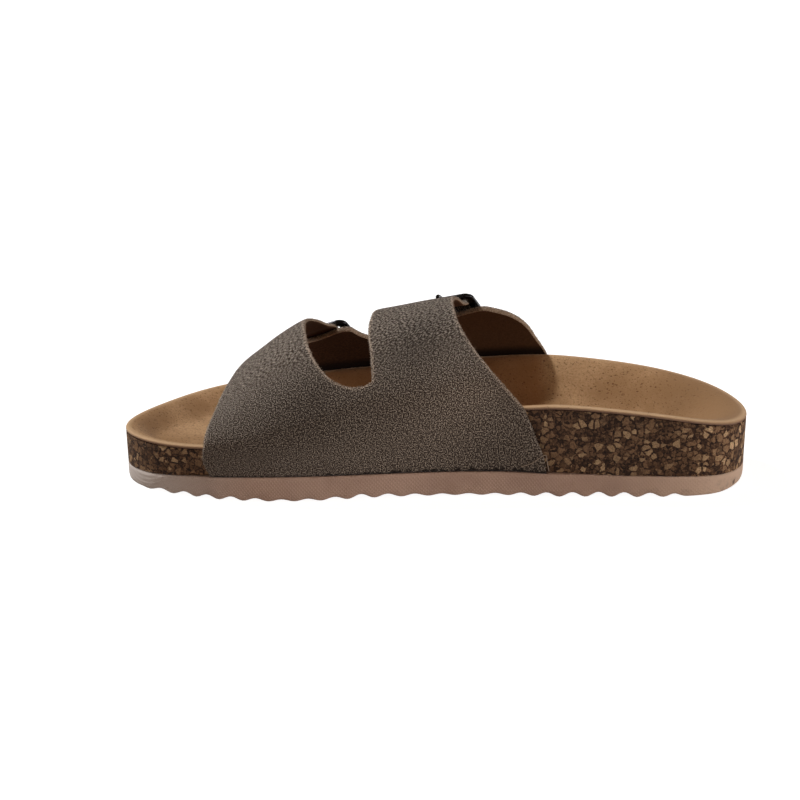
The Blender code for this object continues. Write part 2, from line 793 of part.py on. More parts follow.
def main():
    for old in list(bpy.data.objects):
        bpy.data.objects.remove(old)
    tan_suede = material("tan footbed suede", (0.42, 0.26, 0.13), 0.85)
    cork = material("bound cork", (0.12, 0.07, 0.04), 0.9)
    foam = material("dusty pink foam", (0.43, 0.28, 0.21), 0.7)
    taupe_suede = material("taupe suede", (0.11, 0.09, 0.075), 0.95)
    gunmetal = material("black nickel", (0.03, 0.03, 0.035), 0.2, 1.0)
    parts = [build_outsole(foam), build_cork(cork), build_insole(tan_suede), build_upper(taupe_suede)]
    for name in BUCKLE:
        parts += build_buckle(name, gunmetal)
    sandal = bpy.data.objects.new("sandal", None)
    bpy.context.scene.collection.objects.link(sandal)
    for part in parts:
        part.parent = sandal


main()
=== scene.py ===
# %% [markdown]
# # A two-strap footbed sandal
# The sandal is a stack of soft and firm sheets: a foam outsole, a block of bound cork, a suede footbed, and
# two cuts of strap suede that meet under two buckles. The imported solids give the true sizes, so this lesson
# repeats their tables, with a few rows moved by a millimetre or two towards the photo. It draws the same
# forms with many more points and with real finishes.

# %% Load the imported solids
import math

import bmesh
import bpy
import numpy as np
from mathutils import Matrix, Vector, geometry


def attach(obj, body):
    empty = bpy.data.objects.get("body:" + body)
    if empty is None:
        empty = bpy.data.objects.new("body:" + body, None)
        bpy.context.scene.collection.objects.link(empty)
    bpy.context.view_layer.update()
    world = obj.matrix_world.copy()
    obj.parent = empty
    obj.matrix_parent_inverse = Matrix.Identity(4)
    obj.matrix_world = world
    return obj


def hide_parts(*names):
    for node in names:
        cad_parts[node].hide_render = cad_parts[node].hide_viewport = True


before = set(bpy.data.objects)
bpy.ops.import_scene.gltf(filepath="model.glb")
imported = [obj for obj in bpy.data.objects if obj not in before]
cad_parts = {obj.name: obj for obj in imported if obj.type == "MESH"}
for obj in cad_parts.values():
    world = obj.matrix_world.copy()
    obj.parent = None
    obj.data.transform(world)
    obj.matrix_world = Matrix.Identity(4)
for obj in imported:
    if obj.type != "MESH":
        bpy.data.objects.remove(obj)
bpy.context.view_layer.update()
MM = 0.001
print("packed nodes:", sorted(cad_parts))

# %% [markdown]
# ## Smooth lines from short tables
# A shoemaker keeps a few measured stations and bends a batten through them. A Bezier curve object could do
# that too, but plain functions are easier to read back at any place along the shoe. Lengths are millimetres.

# %% Curves through table rows
def smooth(rows, x, column=1):
    """Cubic curve through the rows of a table, read at x."""
    rows = np.array([[r[0], r[column]] for r in rows], float)
    xs, ys = rows.T
    slopes = np.gradient(ys, xs)
    x = np.clip(x, xs[0], xs[-1])
    i = np.clip(np.searchsorted(xs, x, side="right") - 1, 0, len(xs) - 2)
    step = xs[i + 1] - xs[i]
    u = (x - xs[i]) / step
    return (
        (2 * u**3 - 3 * u**2 + 1) * ys[i]
        + (u**3 - 2 * u**2 + u) * step * slopes[i]
        + (3 * u**2 - 2 * u**3) * ys[i + 1]
        + (u**3 - u**2) * step * slopes[i + 1]
    )


def ease(u):
    """Zero to one with flat ends."""
    u = np.clip(u, 0.0, 1.0)
    return u * u * (3 - 2 * u)


def hump(*parts):
    """Round hump: one where all parts are nought, almost nothing where a part is past two."""
    return np.exp(-sum(part**2 for part in parts))


def closed_curve(points, per_span=60):
    """Smooth closed curve through points, as a dense polyline."""
    points = np.array(points, float)
    count = len(points)
    chords = np.linalg.norm(np.roll(points, -1, 0) - points, axis=1)
    system, right = np.zeros((count, count)), np.zeros((count, 2))
    for i in range(count):
        before, after = chords[i - 1], chords[i]
        system[i, i - 1] += after
        system[i, i] += 2 * (before + after)
        system[i, (i + 1) % count] += before
        rise_before = (points[i] - points[i - 1]) / before
        rise_after = (points[(i + 1) % count] - points[i]) / after
        right[i] = 3 * (after * rise_before + before * rise_after)
    slopes = np.linalg.solve(system, right)
    u = np.linspace(0, 1, per_span, endpoint=False)[:, None]
    spans = []
    for i in range(count):
        j, chord = (i + 1) % count, chords[i]
        spans.append(
            (2 * u**3 - 3 * u**2 + 1) * points[i]
            + (u**3 - 2 * u**2 + u) * chord * slopes[i]
            + (3 * u**2 - 2 * u**3) * points[j]
            + (u**3 - u**2) * chord * slopes[j]
        )
    return np.concatenate(spans)


def open_curve(points, spacing):
    """Smooth open curve through points, with a point about every spacing."""
    points = np.array(points, float)
    along = np.concatenate([[0], np.cumsum(np.linalg.norm(np.diff(points, axis=0), axis=1))])
    if len(points) == 2:
        return np.linspace(points[0], points[1], max(2, round(along[-1] / spacing) + 1))
    at = np.linspace(0, along[-1], max(3, round(along[-1] / spacing) + 1))
    columns = range(points.shape[1])
    return np.stack([smooth(np.stack([along, points[:, k]], 1), at) for k in columns], 1)


# %% [markdown]
# ## The plan and the heights of the sole
# The footbed's outline is drawn round the foot, longer at the big toe and fuller at the outer ball. Heights
# along the shoe say where the rim, the bed and both faces of the outsole lie.

# %% Tables of the sole
# Plan of the footbed at its rim: landmark, x, y
OUTLINE = (
    ("toe tip", -129.3, -18.0),
    ("big toe", -119.5, -32.0),
    ("inner toe joint", -100.0, -41.0),
    ("inner ball", -66.0, -46.0),
    ("inner waist front", -18.0, -43.0),
    ("inner waist", 28.0, -39.5),
    ("inner heel", 88.0, -43.0),
    ("heel corner in", 120.0, -33.5),
    ("heel back", 129.2, -9.5),
    ("heel corner out", 118.0, 15.0),
    ("outer heel", 86.0, 26.5),
    ("outer waist", 25.0, 36.0),
    ("outer ball", -46.0, 49.5),
    ("little toe", -90.0, 42.5),
    ("outer toe", -117.0, 16.0),
)
# Height of the footbed's rim and of its bed along the shoe: x, rim z, bed z
HEIGHTS = (
    (-130.0, 22.3, 17.5),
    (-97.0, 22.5, 15.5),
    (-68.0, 24.3, 16.8),
    (-38.0, 27.8, 16.5),
    (0.0, 33.6, 20.0),
    (22.0, 37.0, 22.0),
    (46.0, 39.2, 22.5),
    (70.0, 38.2, 21.5),
    (90.0, 36.0, 20.5),
    (108.0, 32.8, 20.5),
    (121.0, 30.0, 21.0),
    (130.0, 28.0, 21.5),
)
# Outsole above the floor along the shoe: x, underside z, top z
OUTSOLE = (
    (-131.0, 0.4, 6.8),
    (-120.0, 0.0, 7.4),
    (-108.0, 0.0, 8.2),
    (-94.0, 0.0, 9.3),
    (-70.0, 0.0, 10.4),
    (-48.0, 0.4, 10.8),
    (-28.0, 1.0, 11.0),
    (0.0, 0.9, 11.0),
    (40.0, 0.3, 10.3),
    (66.0, 0.0, 9.6),
    (98.0, 0.0, 8.8),
    (116.0, 0.0, 7.9),
    (131.0, 1.1, 6.8),
)
# Shift from these tables to the row frame: x, y, z
PLACE = np.array((0.29, -3.83, 0.0))
print("footbed", OUTLINE[8][1] - OUTLINE[0][1], "mm long")

# %% [markdown]
# ## Rings round the sole
# Every layer of the sole has the same plan, so one set of points round the rim serves them all. Each rim
# point looks at a point on the spine of the foot, and rings shrink from the rim to that spine. A remesh would
# give even squares, but rings keep the rim perfectly smooth, and the rim is what the eye follows.

# %% Rim points and the spine that they face
TOE_CENTRE, HEEL_CENTRE = (-88.0, -1.0), (92.0, -8.0)
STATIONS, FAN_RAYS = 160, 88
RIM = closed_curve([row[1:] for row in OUTLINE])
toe_at, heel_at = int(np.argmin(RIM[:, 0])), int(np.argmax(RIM[:, 0]))
from_toe = np.roll(RIM, -toe_at, 0)
half_way = (heel_at - toe_at) % len(RIM)
MEDIAL_SIDE, LATERAL_SIDE = from_toe[: half_way + 1], from_toe[half_way:][::-1]


def side_y(x, side):
    """Y of the rim at x, on the inner (-1) or outer (+1) side."""
    half = MEDIAL_SIDE if side < 0 else LATERAL_SIDE
    return np.interp(x, half[:, 0], half[:, 1])


def fan(centre, start, stop):
    """Where rays from a centre meet the rim, between two directions."""
    offsets = RIM - np.array(centre)
    angles = np.arctan2(offsets[:, 1], offsets[:, 0]) % (2 * math.pi)
    order = np.argsort(angles)
    at = np.linspace(start, stop, FAN_RAYS + 2)[1:-1]
    reach = np.linalg.norm(offsets, axis=1)[order]
    length = np.interp(at % (2 * math.pi), angles[order], reach, period=2 * math.pi)
    return np.array(centre) + length[:, None] * np.stack([np.cos(at), np.sin(at)], 1)


xs = np.linspace(TOE_CENTRE[0], HEEL_CENTRE[0], STATIONS)
spine = np.stack([xs, np.interp(xs, *zip(TOE_CENTRE, HEEL_CENTRE))], 1)
EDGE = np.concatenate([
    np.stack([xs, side_y(xs, -1)], 1),
    fan(HEEL_CENTRE, -math.pi / 2, math.pi / 2),
    np.stack([xs, side_y(xs, 1)], 1)[::-1],
    fan(TOE_CENTRE, math.pi / 2, 3 * math.pi / 2),
])
FACING = np.concatenate([
    spine, np.tile(HEEL_CENTRE, (FAN_RAYS, 1)), spine[::-1], np.tile(TOE_CENTRE, (FAN_RAYS, 1))
])
along_rim = np.roll(EDGE, -1, 0) - np.roll(EDGE, 1, 0)
along_rim /= np.linalg.norm(along_rim, axis=1)[:, None]
OUT = np.stack([along_rim[:, 1], -along_rim[:, 0]], 1)
REACH = np.linalg.norm(EDGE - FACING, axis=1)
print("rim points:", len(EDGE))

# %% [markdown]
# ## From points to pieces
# Every piece is a mesh of millimetre points that is moved into the row's frame and rides on the sandal's one
# body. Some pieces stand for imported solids. Some hold values on their points that a finish reads later, such
# as the distance to a cut edge; vertex groups could hold them too, but attributes also take places.


# %% Turn millimetre points into a piece
def add_piece(name, points, faces, finishes, face_finish=None, stands_for=()):
    """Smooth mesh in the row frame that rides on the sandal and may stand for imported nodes."""
    mesh = bpy.data.meshes.new(name)
    placed = (np.array(points) + PLACE) * MM
    mesh.from_pydata([tuple(p) for p in placed.tolist()], [], faces)
    for finish in finishes:
        mesh.materials.append(finish)
    if face_finish is not None:
        mesh.polygons.foreach_set("material_index", np.array(face_finish, dtype=np.int32))
    mesh.shade_smooth()
    piece = bpy.data.objects.new(name, mesh)
    bpy.context.scene.collection.objects.link(piece)
    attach(piece, "root")
    if stands_for:
        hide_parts(*stands_for)
    print(name, len(mesh.vertices), "points", len(mesh.polygons), "faces")
    return piece


def mend(piece, sharp_degrees=50):
    """Weld doubled points, turn all faces outwards and keep real corners crisp."""
    work = bmesh.new()
    work.from_mesh(piece.data)
    bmesh.ops.remove_doubles(work, verts=work.verts, dist=1e-6)
    bmesh.ops.recalc_face_normals(work, faces=work.faces)
    work.to_mesh(piece.data)
    work.free()
    piece.data.shade_smooth()
    piece.data.set_sharp_from_angle(angle=math.radians(sharp_degrees))


def ring_faces(count, rings):
    """Four-cornered faces between rings that follow each other."""
    i = np.arange(count)
    j = (i + 1) % count
    quads = [np.stack([k * count + i, k * count + j, (k + 1) * count + j, (k + 1) * count + i], 1)
             for k in range(rings - 1)]
    return np.concatenate(quads).tolist()


def ring_piece(name, rings, finish, node):
    """Piece made of closed rings round the sole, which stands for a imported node."""
    faces = ring_faces(len(EDGE), len(rings))
    return add_piece(name, np.concatenate(rings), faces, [finish.material], stands_for=(node,))


def point_value(piece, name, values):
    """Store one number per point for a finish to read."""
    piece.data.attributes.new(name, "FLOAT", "POINT").data.foreach_set("value", np.array(values, float))


def point_place(piece, name, places):
    """Store one flat place per point, in metres, for a finish to read."""
    flat = np.column_stack([np.array(places) * MM, np.zeros(len(places))])
    piece.data.attributes.new(name, "FLOAT_VECTOR", "POINT").data.foreach_set("vector", flat.ravel())


# %% [markdown]
# ## Building finishes from nodes
# Each finish is a Principled shader fed by noise and cell patterns in real millimetres, so a grain keeps its
# size on every piece. A small helper class keeps the node wiring short enough to read as a recipe.

# %% A helper for finishes
def srgb(red, green, blue):
    """Linear colour of a screen colour from 0 to 255."""
    values = np.array((red, green, blue)) / 255
    linear = np.where(values <= 0.04045, values / 12.92, ((values + 0.055) / 1.055) ** 2.4)
    return (*linear.tolist(), 1.0)


class Finish:
    """A material with short ways to add and join its nodes."""

    def __init__(self, name, roughness, **sockets):
        self.material = bpy.data.materials.new(name)
        self.material.use_nodes = True
        self.tree = self.material.node_tree
        self.shader = self.tree.nodes["Principled BSDF"]
        self.place = self.node("ShaderNodeTexCoord").outputs["Object"]
        self.set(Roughness=roughness, **sockets)

    def node(self, kind, settings=(), **inputs):
        """New node with its settings, fed from values or other nodes."""
        made = self.tree.nodes.new(kind)
        for key, value in dict(settings).items():
            setattr(made, key, value)
        for key, value in inputs.items():
            self.feed(made.inputs[key.replace("_", " ")], value)
        return made

    def feed(self, socket, value):
        """Join another node's output to a socket, or write a constant on it."""
        if isinstance(value, bpy.types.NodeSocket):
            self.tree.links.new(value, socket)
        else:
            socket.default_value = value

    def set(self, **inputs):
        """Feed the shader's own sockets."""
        for key, value in inputs.items():
            self.feed(self.shader.inputs[key.replace("_", " ")], value)

    def noise(self, size, detail=2.0, roughness=0.5, flat=None):
        """Cloudy noise with lumps about size millimetres across, in space or on a flat place."""
        made = self.node("ShaderNodeTexNoise", {"noise_dimensions": "2D" if flat else "3D"},
                         Vector=flat or self.place, Scale=1 / (size * MM), Detail=detail, Roughness=roughness)
        return made.outputs["Fac"]

    def cells(self, size, place, feature="F1"):
        """Cell pattern with cells about size millimetres across."""
        return self.node("ShaderNodeTexVoronoi", {"feature": feature}, Vector=place, Scale=1 / (size * MM))

    def shaken(self, size, amount):
        """The place nudged by up to amount millimetres by noise of a size."""
        wobble = self.node("ShaderNodeTexNoise", Vector=self.place, Scale=1 / (size * MM)).outputs["Color"]
        centred = self.node("ShaderNodeVectorMath", {"operation": "SUBTRACT"})
        self.feed(centred.inputs[0], wobble)
        centred.inputs[1].default_value = (0.5, 0.5, 0.5)
        scaled = self.node("ShaderNodeVectorMath", {"operation": "SCALE"}, Scale=2 * amount * MM)
        self.feed(scaled.inputs[0], centred.outputs[0])
        moved = self.node("ShaderNodeVectorMath", {"operation": "ADD"})
        self.feed(moved.inputs[0], self.place)
        self.feed(moved.inputs[1], scaled.outputs[0])
        return moved.outputs[0]

    def span(self, value, low, high, to_low=0.0, to_high=1.0):
        """Smooth step of a value from one range to another."""
        made = self.node("ShaderNodeMapRange", {"interpolation_type": "SMOOTHSTEP"}, Value=value,
                         From_Min=low, From_Max=high, To_Min=to_low, To_Max=to_high)
        return made.outputs[0]

    def along(self, axis):
        """One coordinate of the place, in metres."""
        return self.node("ShaderNodeSeparateXYZ", Vector=self.place).outputs[axis]

    def join(self, operation, a, b):
        """Two values joined by an operation."""
        made = self.node("ShaderNodeMath", {"operation": operation})
        self.feed(made.inputs[0], a)
        self.feed(made.inputs[1], b)
        return made.outputs[0]

    def sum(self, a, b):
        """Two values added."""
        return self.join("ADD", a, b)

    def times(self, a, b):
        """Two values multiplied."""
        return self.join("MULTIPLY", a, b)

    def grey(self, value):
        """Grey colour of a value."""
        return self.node("ShaderNodeCombineColor", Red=value, Green=value, Blue=value).outputs[0]

    def mix(self, share, a, b, blend="MIX"):
        """Colour between a and b."""
        made = self.node("ShaderNodeMix", {"data_type": "RGBA", "blend_type": blend})
        self.feed(made.inputs["Factor"], share)
        self.feed(made.inputs[6], a)
        self.feed(made.inputs[7], b)
        return made.outputs[2]

    def value(self, name, output="Fac"):
        """A number or a place stored on the piece's points."""
        return self.node("ShaderNodeAttribute", {"attribute_name": name}).outputs[output]

    def bump(self, height, depth, strength=1.0, under=None):
        """Surface relief of a depth in millimetres."""
        made = self.node("ShaderNodeBump", Height=height, Distance=depth * MM, Strength=strength)
        if under:
            self.feed(made.inputs["Normal"], under)
        return made.outputs["Normal"]

    def tell(self):
        """Print what the finish is made of."""
        print(self.material.name, "finish:", len(self.tree.nodes), "nodes")


# %% [markdown]
# ## The foam outsole
# The outsole is a die-cut sheet of light foam. Its side carries a fine diagonal hatch from the mould, and
# wavy grooves run across its underside, so the lower edge looks scalloped, less so under the ball and the
# waist. Cutting each groove with a Boolean works for the solid; here the underside is a height that dips
# along the grooves, which gives round scallops.

# %% Foam finish
foam = Finish("dusty pink foam", 0.72, Specular_IOR_Level=0.3)
PINK, PINK_SHADE = srgb(202, 169, 151), srgb(181, 149, 132)
# Colours of painted light: a cooler grey at the toe and a paler pink at the heel
TOE_PAINTED_LIGHT, HEEL_PAINTED_LIGHT = srgb(214, 206, 200), srgb(226, 195, 172)
SOLE_DIRT = srgb(96, 76, 62)
HATCH_PITCH, HATCH_ANGLE = 0.9, math.radians(38)
# At scale 1 the wave texture turns through this many radians per metre
WAVE_RADIANS = 20
hatch_scale = 2 * math.pi / (WAVE_RADIANS * HATCH_PITCH * MM)
turned = []
for angle in (HATCH_ANGLE, -HATCH_ANGLE):
    tilt = foam.node("ShaderNodeMapping", Vector=foam.place)
    tilt.inputs["Rotation"].default_value = (0, angle, angle)
    turned.append(foam.node("ShaderNodeTexWave", Vector=tilt.outputs[0], Scale=hatch_scale).outputs["Fac"])
hatch = foam.times(*turned)
pores = foam.noise(0.8, 2)
foam_colour = foam.mix(foam.span(foam.noise(26, 3, 0.6), 0.35, 0.7), PINK, PINK_SHADE)
foam_colour = foam.mix(foam.span(hatch, 0.0, 0.5, 0.4, 0.0), foam_colour, PINK_SHADE)
# Painted light: the foam turns greyer towards the toe and paler towards the heel
toe_light_share = foam.span(foam.along("X"), -0.13, -0.07, 0.85, 0.0)
foam_colour = foam.mix(toe_light_share, foam_colour, TOE_PAINTED_LIGHT)
heel_light_share = foam.span(foam.along("X"), 0.05, 0.125, 0.0, 0.9)
foam_colour = foam.mix(heel_light_share, foam_colour, HEEL_PAINTED_LIGHT)

# %% Dirt on the foam
rubbed = foam.span(foam.noise(9, 4, 0.65), 0.5, 0.72, 0.0, 0.6)
heel_end = foam.span(foam.along("X"), 0.085, 0.12, 0.35, 1.0)
dirt = foam.times(foam.times(foam.value("low"), rubbed), heel_end)
# Small dark marks on the heel: x, y, z, size
HEEL_MARKS = ((122.4, -28.5, 2.6, 1.8), (111.0, -36.0, 0.6, 1.8), (118.5, -32.0, 1.2, 1.2))
ragged_place = foam.shaken(0.9, 0.7)
for x, y, z, size in HEEL_MARKS:
    away = foam.node("ShaderNodeVectorMath", {"operation": "DISTANCE"})
    foam.feed(away.inputs[0], ragged_place)
    away.inputs[1].default_value = (np.array((x, y, z)) + PLACE) * MM
    mark = foam.span(away.outputs["Value"], 0.4 * size * MM, size * MM, 0.9, 0.0)
    dirt = foam.join("MAXIMUM", dirt, mark)
foam.set(Base_Color=foam.mix(dirt, foam_colour, SOLE_DIRT))
foam.set(Normal=foam.bump(hatch, 0.15, 0.8, foam.bump(pores, 0.08, 0.4)))
foam.tell()

# %% Tables of the outsole's edge and tread
# Draft of the cork's wall, and how far from the middle and over what run it eases off
CORK_DRAFT, END_DRAFT, DRAFT_EASES, DRAFT_RUN = 1.6, 0.6, 98.0, 20.0
# The outsole stands out beside the straps: by how much, from where, growing over, to where, fading over
UPPER_FLARE, FLARE_FROM, FLARE_GROWS, FLARE_TO, FLARE_FADES = 2.5, -112.0, 24.0, 70.0, 26.0
GROOVE_FIRST, GROOVE_LAST, GROOVE_PITCH = -116.5, 103.5, 10.69
GROOVE_LEAD, GROOVE_FADE = 9.0, 8.0
# Depth of the grooves along the shoe: x, depth
GROOVE_DEPTH = (
    (-130.0, 1.3), (-92.0, 1.6), (-80.0, 1.5), (-68.0, 0.95), (-54.0, 0.95), (-44.0, 1.2), (-32.0, 1.8),
    (-20.0, 1.4), (-8.0, 1.0), (28.0, 1.0), (41.0, 1.6), (60.0, 2.0), (80.0, 2.0), (92.0, 1.7), (104.0, 1.7),
)
# Side of the outsole from its top edge down: inset, share of the height left
OUTSOLE_SIDE = (
    (0.25, 1.0), (0.0, 0.95), (0.0, 0.75), (0.05, 0.5), (0.12, 0.3), (0.28, 0.15), (0.5, 0.05), (0.9, 0.0),
)
GROOVE_WAVE, GROOVE_WAVE_LENGTH = 2.2, 43.0
print("grooves:", int((GROOVE_LAST - GROOVE_FIRST) / GROOVE_PITCH) + 1)


# %% Heights and edges of the outsole
def outsole_under(x):
    """Height of the outsole's underside between its grooves."""
    return np.maximum(smooth(OUTSOLE, x, 1), 0.0)


def outsole_top(x):
    """Height of the outsole's top."""
    return smooth(OUTSOLE, x, 2)


def draft(x):
    """How far the cork's wall draws in from rim to outsole, less at the toe's and heel's ends."""
    ends = ease((-DRAFT_EASES - x) / DRAFT_RUN) + ease((x - DRAFT_EASES) / DRAFT_RUN)
    return CORK_DRAFT + (END_DRAFT - CORK_DRAFT) * ends


def flare(x):
    """How far the outsole stands out beside the straps."""
    return UPPER_FLARE * ease((x - FLARE_FROM) / FLARE_GROWS) * ease((FLARE_TO - x) / FLARE_FADES)


def groove(x, y):
    """Depth of the tread's grooves under a place in plan."""
    along = (x - GROOVE_FIRST - GROOVE_WAVE * np.sin(2 * math.pi * y / GROOVE_WAVE_LENGTH)) / GROOVE_PITCH
    ends = ease((x - GROOVE_FIRST + GROOVE_LEAD) / GROOVE_FADE) * ease((GROOVE_LAST - x) / GROOVE_FADE)
    return smooth(GROOVE_DEPTH, x) * (0.5 + 0.5 * np.cos(2 * math.pi * along)) * ends


def tread(plan):
    """Height of the underside with its grooves at places in plan."""
    return outsole_under(plan[:, 0]) + groove(plan[:, 0], plan[:, 1])


# %% Outsole
# Share of the way out of the ring next to an edge, and rings under the sole
NEAR_EDGE, UNDER_RINGS = 0.97, 38
sole_edge = EDGE - OUT * (draft(EDGE[:, 0]) - flare(EDGE[:, 0]))[:, None]
rings, low = [], []
for share in (0.0, 0.5, NEAR_EDGE):
    plan = FACING + (sole_edge - FACING) * share
    rings.append(np.column_stack([plan, outsole_top(plan[:, 0])]))
    low.append(np.zeros(len(plan)))
for inset, share in OUTSOLE_SIDE:
    plan = sole_edge - OUT * inset
    under_z = tread(plan)
    rings.append(np.column_stack([plan, under_z + (outsole_top(plan[:, 0]) - under_z) * share]))
    low.append(np.full(len(plan), 1 - share))
lower_edge = sole_edge - OUT * OUTSOLE_SIDE[-1][0]
for share in np.linspace(NEAR_EDGE, 0, UNDER_RINGS):
    plan = FACING + (lower_edge - FACING) * share
    rings.append(np.column_stack([plan, tread(plan)]))
    low.append(np.ones(len(plan)))
outsole = ring_piece("outsole_foam", rings, foam, "outsole")
point_value(outsole, "low", np.concatenate(low))
mend(outsole, 70)

# %% [markdown]
# ## The cork block
# The midsole is ground cork bound with latex: pale angular grains in a dark brown binder. Three cell patterns
# of different size, each with a random tone per cell, give the broken grains, and the seams between the cells
# stay dark. Loose grain meshes would be far too many, so only the relief of the grains is added as bump.

# %% Cork finish
cork = Finish("bound cork", 0.85, Specular_IOR_Level=0.2)
BINDER_DARK, BINDER = srgb(38, 24, 17), srgb(68, 47, 35)
GRAIN_DARK, GRAIN_BROWN, GRAIN_PALE = srgb(90, 65, 47), srgb(136, 105, 78), srgb(194, 162, 126)


def grains(size, least, seam):
    """Share of grain at a place and the grain's own tone, for cells of a size with dark seams."""
    bent = cork.shaken(size * 0.7, size * 0.14)
    cell = cork.cells(size, bent)
    tone = cork.node("ShaderNodeSeparateColor", Color=cell.outputs["Color"])
    border = cork.cells(size, bent, "DISTANCE_TO_EDGE").outputs["Distance"]
    present = cork.span(tone.outputs[0], least, least + 0.04)
    ragged = cork.sum(border, cork.span(cork.noise(size * 0.35, 2), 0.3, 0.7, -0.035, 0.035))
    whole = cork.span(ragged, seam, seam + 0.05)
    return cork.times(present, whole), tone.outputs[1]


ground = cork.mix(cork.span(cork.noise(1.1, 3, 0.6), 0.35, 0.65), BINDER_DARK, BINDER)
large, large_tone = grains(3.0, 0.45, 0.1)
middle, middle_tone = grains(2.0, 0.42, 0.09)
small, small_tone = grains(1.2, 0.45, 0.06)
small_colour = cork.mix(small_tone, GRAIN_DARK, GRAIN_BROWN)
cork_colour = cork.mix(cork.times(small, 0.8), ground, small_colour)
cork_colour = cork.mix(middle, cork_colour, cork.mix(middle_tone, GRAIN_DARK, GRAIN_BROWN))
pale_share = cork.times(large_tone, large_tone)
cork_colour = cork.mix(large, cork_colour, cork.mix(pale_share, GRAIN_BROWN, GRAIN_PALE))
fleck = cork.span(cork.noise(0.55, 3, 0.6), 0.36, 0.64, 0.62, 1.18)
# Painted light: the cork is paler towards the heel end
cork_heel_painted_light = cork.span(cork.along("X"), 0.09, 0.128, 1.0, 1.5)
fleck_grey = cork.grey(cork.times(fleck, cork_heel_painted_light))
cork.set(Base_Color=cork.mix(1.0, cork_colour, fleck_grey, "MULTIPLY"))
relief = cork.sum(cork.sum(large, middle), small)
cork.set(Normal=cork.bump(relief, 0.22, 0.6, cork.bump(cork.noise(0.6, 3), 0.15, 0.5)))
cork.tell()

# %% [markdown]
# ## The dish of the footbed
# The top of the cork and the suede on it share one shape: a bed that dips inside a raised rim, with a ridge
# under the toes, a pad behind the ball and a rise under the arch. Sculpting could give it too, but a height
# that can be read anywhere lets the cork follow the liner at an even gap.

# %% Height of the bed
GAP, INSOLE_THICKNESS = 0.3, 1.5
# Width of the slope inside the rim along the shoe: x, width
RIM_SLOPE = ((-130, 13.0), (-90, 15.0), (60, 24.0), (130, 24.0))
RIM_FLAT = 1.5
# Ridge under the toes: rise, x, slant, width, then how far inside the rim it starts and over what run
RIDGE_RISE, RIDGE_X, RIDGE_SLANT, RIDGE_WIDTH, RIDGE_INSET, RIDGE_RUN = 1.6, -78, 0.12, 7.0, 6, 12
# Pad behind the ball: rise, x, y, length, width
PAD_RISE, PAD_X, PAD_Y, PAD_LENGTH, PAD_WIDTH = 2.2, -14, 2, 17.0, 15.0
# Arch on the inner side: rise, x, length, then the y where it starts and over what run
ARCH_RISE, ARCH_X, ARCH_LENGTH, ARCH_Y, ARCH_RUN = 4.0, 22, 34.0, -2, 34.0


def bed_height(points, inset):
    """Top of the footbed at places in plan that lie an inset away from the rim."""
    x, y = points[:, 0], points[:, 1]
    rim, bed = smooth(HEIGHTS, x, 1), smooth(HEIGHTS, x, 2)
    rise = 1 - ease((inset - RIM_FLAT) / np.interp(x, *zip(*RIM_SLOPE)))
    ridge = RIDGE_RISE * hump((x - RIDGE_X - RIDGE_SLANT * y) / RIDGE_WIDTH)
    ridge *= ease((inset - RIDGE_INSET) / RIDGE_RUN)
    pad = PAD_RISE * hump((x - PAD_X) / PAD_LENGTH, (y - PAD_Y) / PAD_WIDTH)
    arch = ARCH_RISE * hump((x - ARCH_X) / ARCH_LENGTH) * ease((ARCH_Y - y) / ARCH_RUN) * (1 - rise)
    return bed + (rim - bed) * rise + ridge + pad + arch


def bed_ring(share, drop, draw_in=0.0):
    """One ring of the footbed, drawn in from the rim and lowered by drop."""
    plan = FACING + (EDGE - OUT * draw_in - FACING) * share
    inset = REACH * (1 - share)
    return np.column_stack([plan, bed_height(plan, inset) - drop])


spine_z = bed_height(FACING, REACH)
print("bed along the spine:", round(spine_z.min(), 1), "to", round(spine_z.max(), 1), "mm high")

# %% Cork block under the footbed
CORK_TOP_RINGS, CORK_WALL_RINGS, CORK_BEVEL = 16, 8, 0.35
cork_drop = INSOLE_THICKNESS + GAP
rings = [bed_ring(share, cork_drop) for share in np.linspace(0, NEAR_EDGE, CORK_TOP_RINGS)]
rings.append(bed_ring(1.0, cork_drop, CORK_BEVEL))
base_z = outsole_top(EDGE[:, 0]) + GAP
lip_z = smooth(HEIGHTS, EDGE[:, 0], 1) - cork_drop
for share in np.linspace(NEAR_EDGE, 0.0, CORK_WALL_RINGS):
    plan = EDGE - OUT * (draft(EDGE[:, 0]) * (1 - share))[:, None]
    rings.append(np.column_stack([plan, base_z + (lip_z - base_z) * share]))
foot = EDGE - OUT * draft(EDGE[:, 0])[:, None]
for share in (NEAR_EDGE, 0.5, 0.0):
    plan = FACING + (foot - FACING) * share
    rings.append(np.column_stack([plan, outsole_top(plan[:, 0]) + GAP]))
mend(ring_piece("cork_block", rings, cork, "cork_midsole"), 60)

# %% [markdown]
# ## The suede footbed
# A thin tan suede liner is pressed into the cork's dish, and its cut edge shows along the rim, under a pale
# band of painted highlight.
# Suede has a short nap with pinprick pores and slightly darker clouds where it was rubbed. The nap could be
# hair, but at this distance fine bump and a little sheen read the same and stay light.

# %% Footbed finish
bed_suede = Finish("tan footbed suede", 0.9, Specular_IOR_Level=0.15, Sheen_Weight=0.08, Sheen_Roughness=0.5)
TAN, TAN_SHADE, RIM_PAINTED_HIGHLIGHT = srgb(194, 155, 115), srgb(164, 126, 88), srgb(206, 172, 135)
PORE_BROWN, LINER_EDGE = srgb(84, 56, 36), srgb(150, 118, 98)
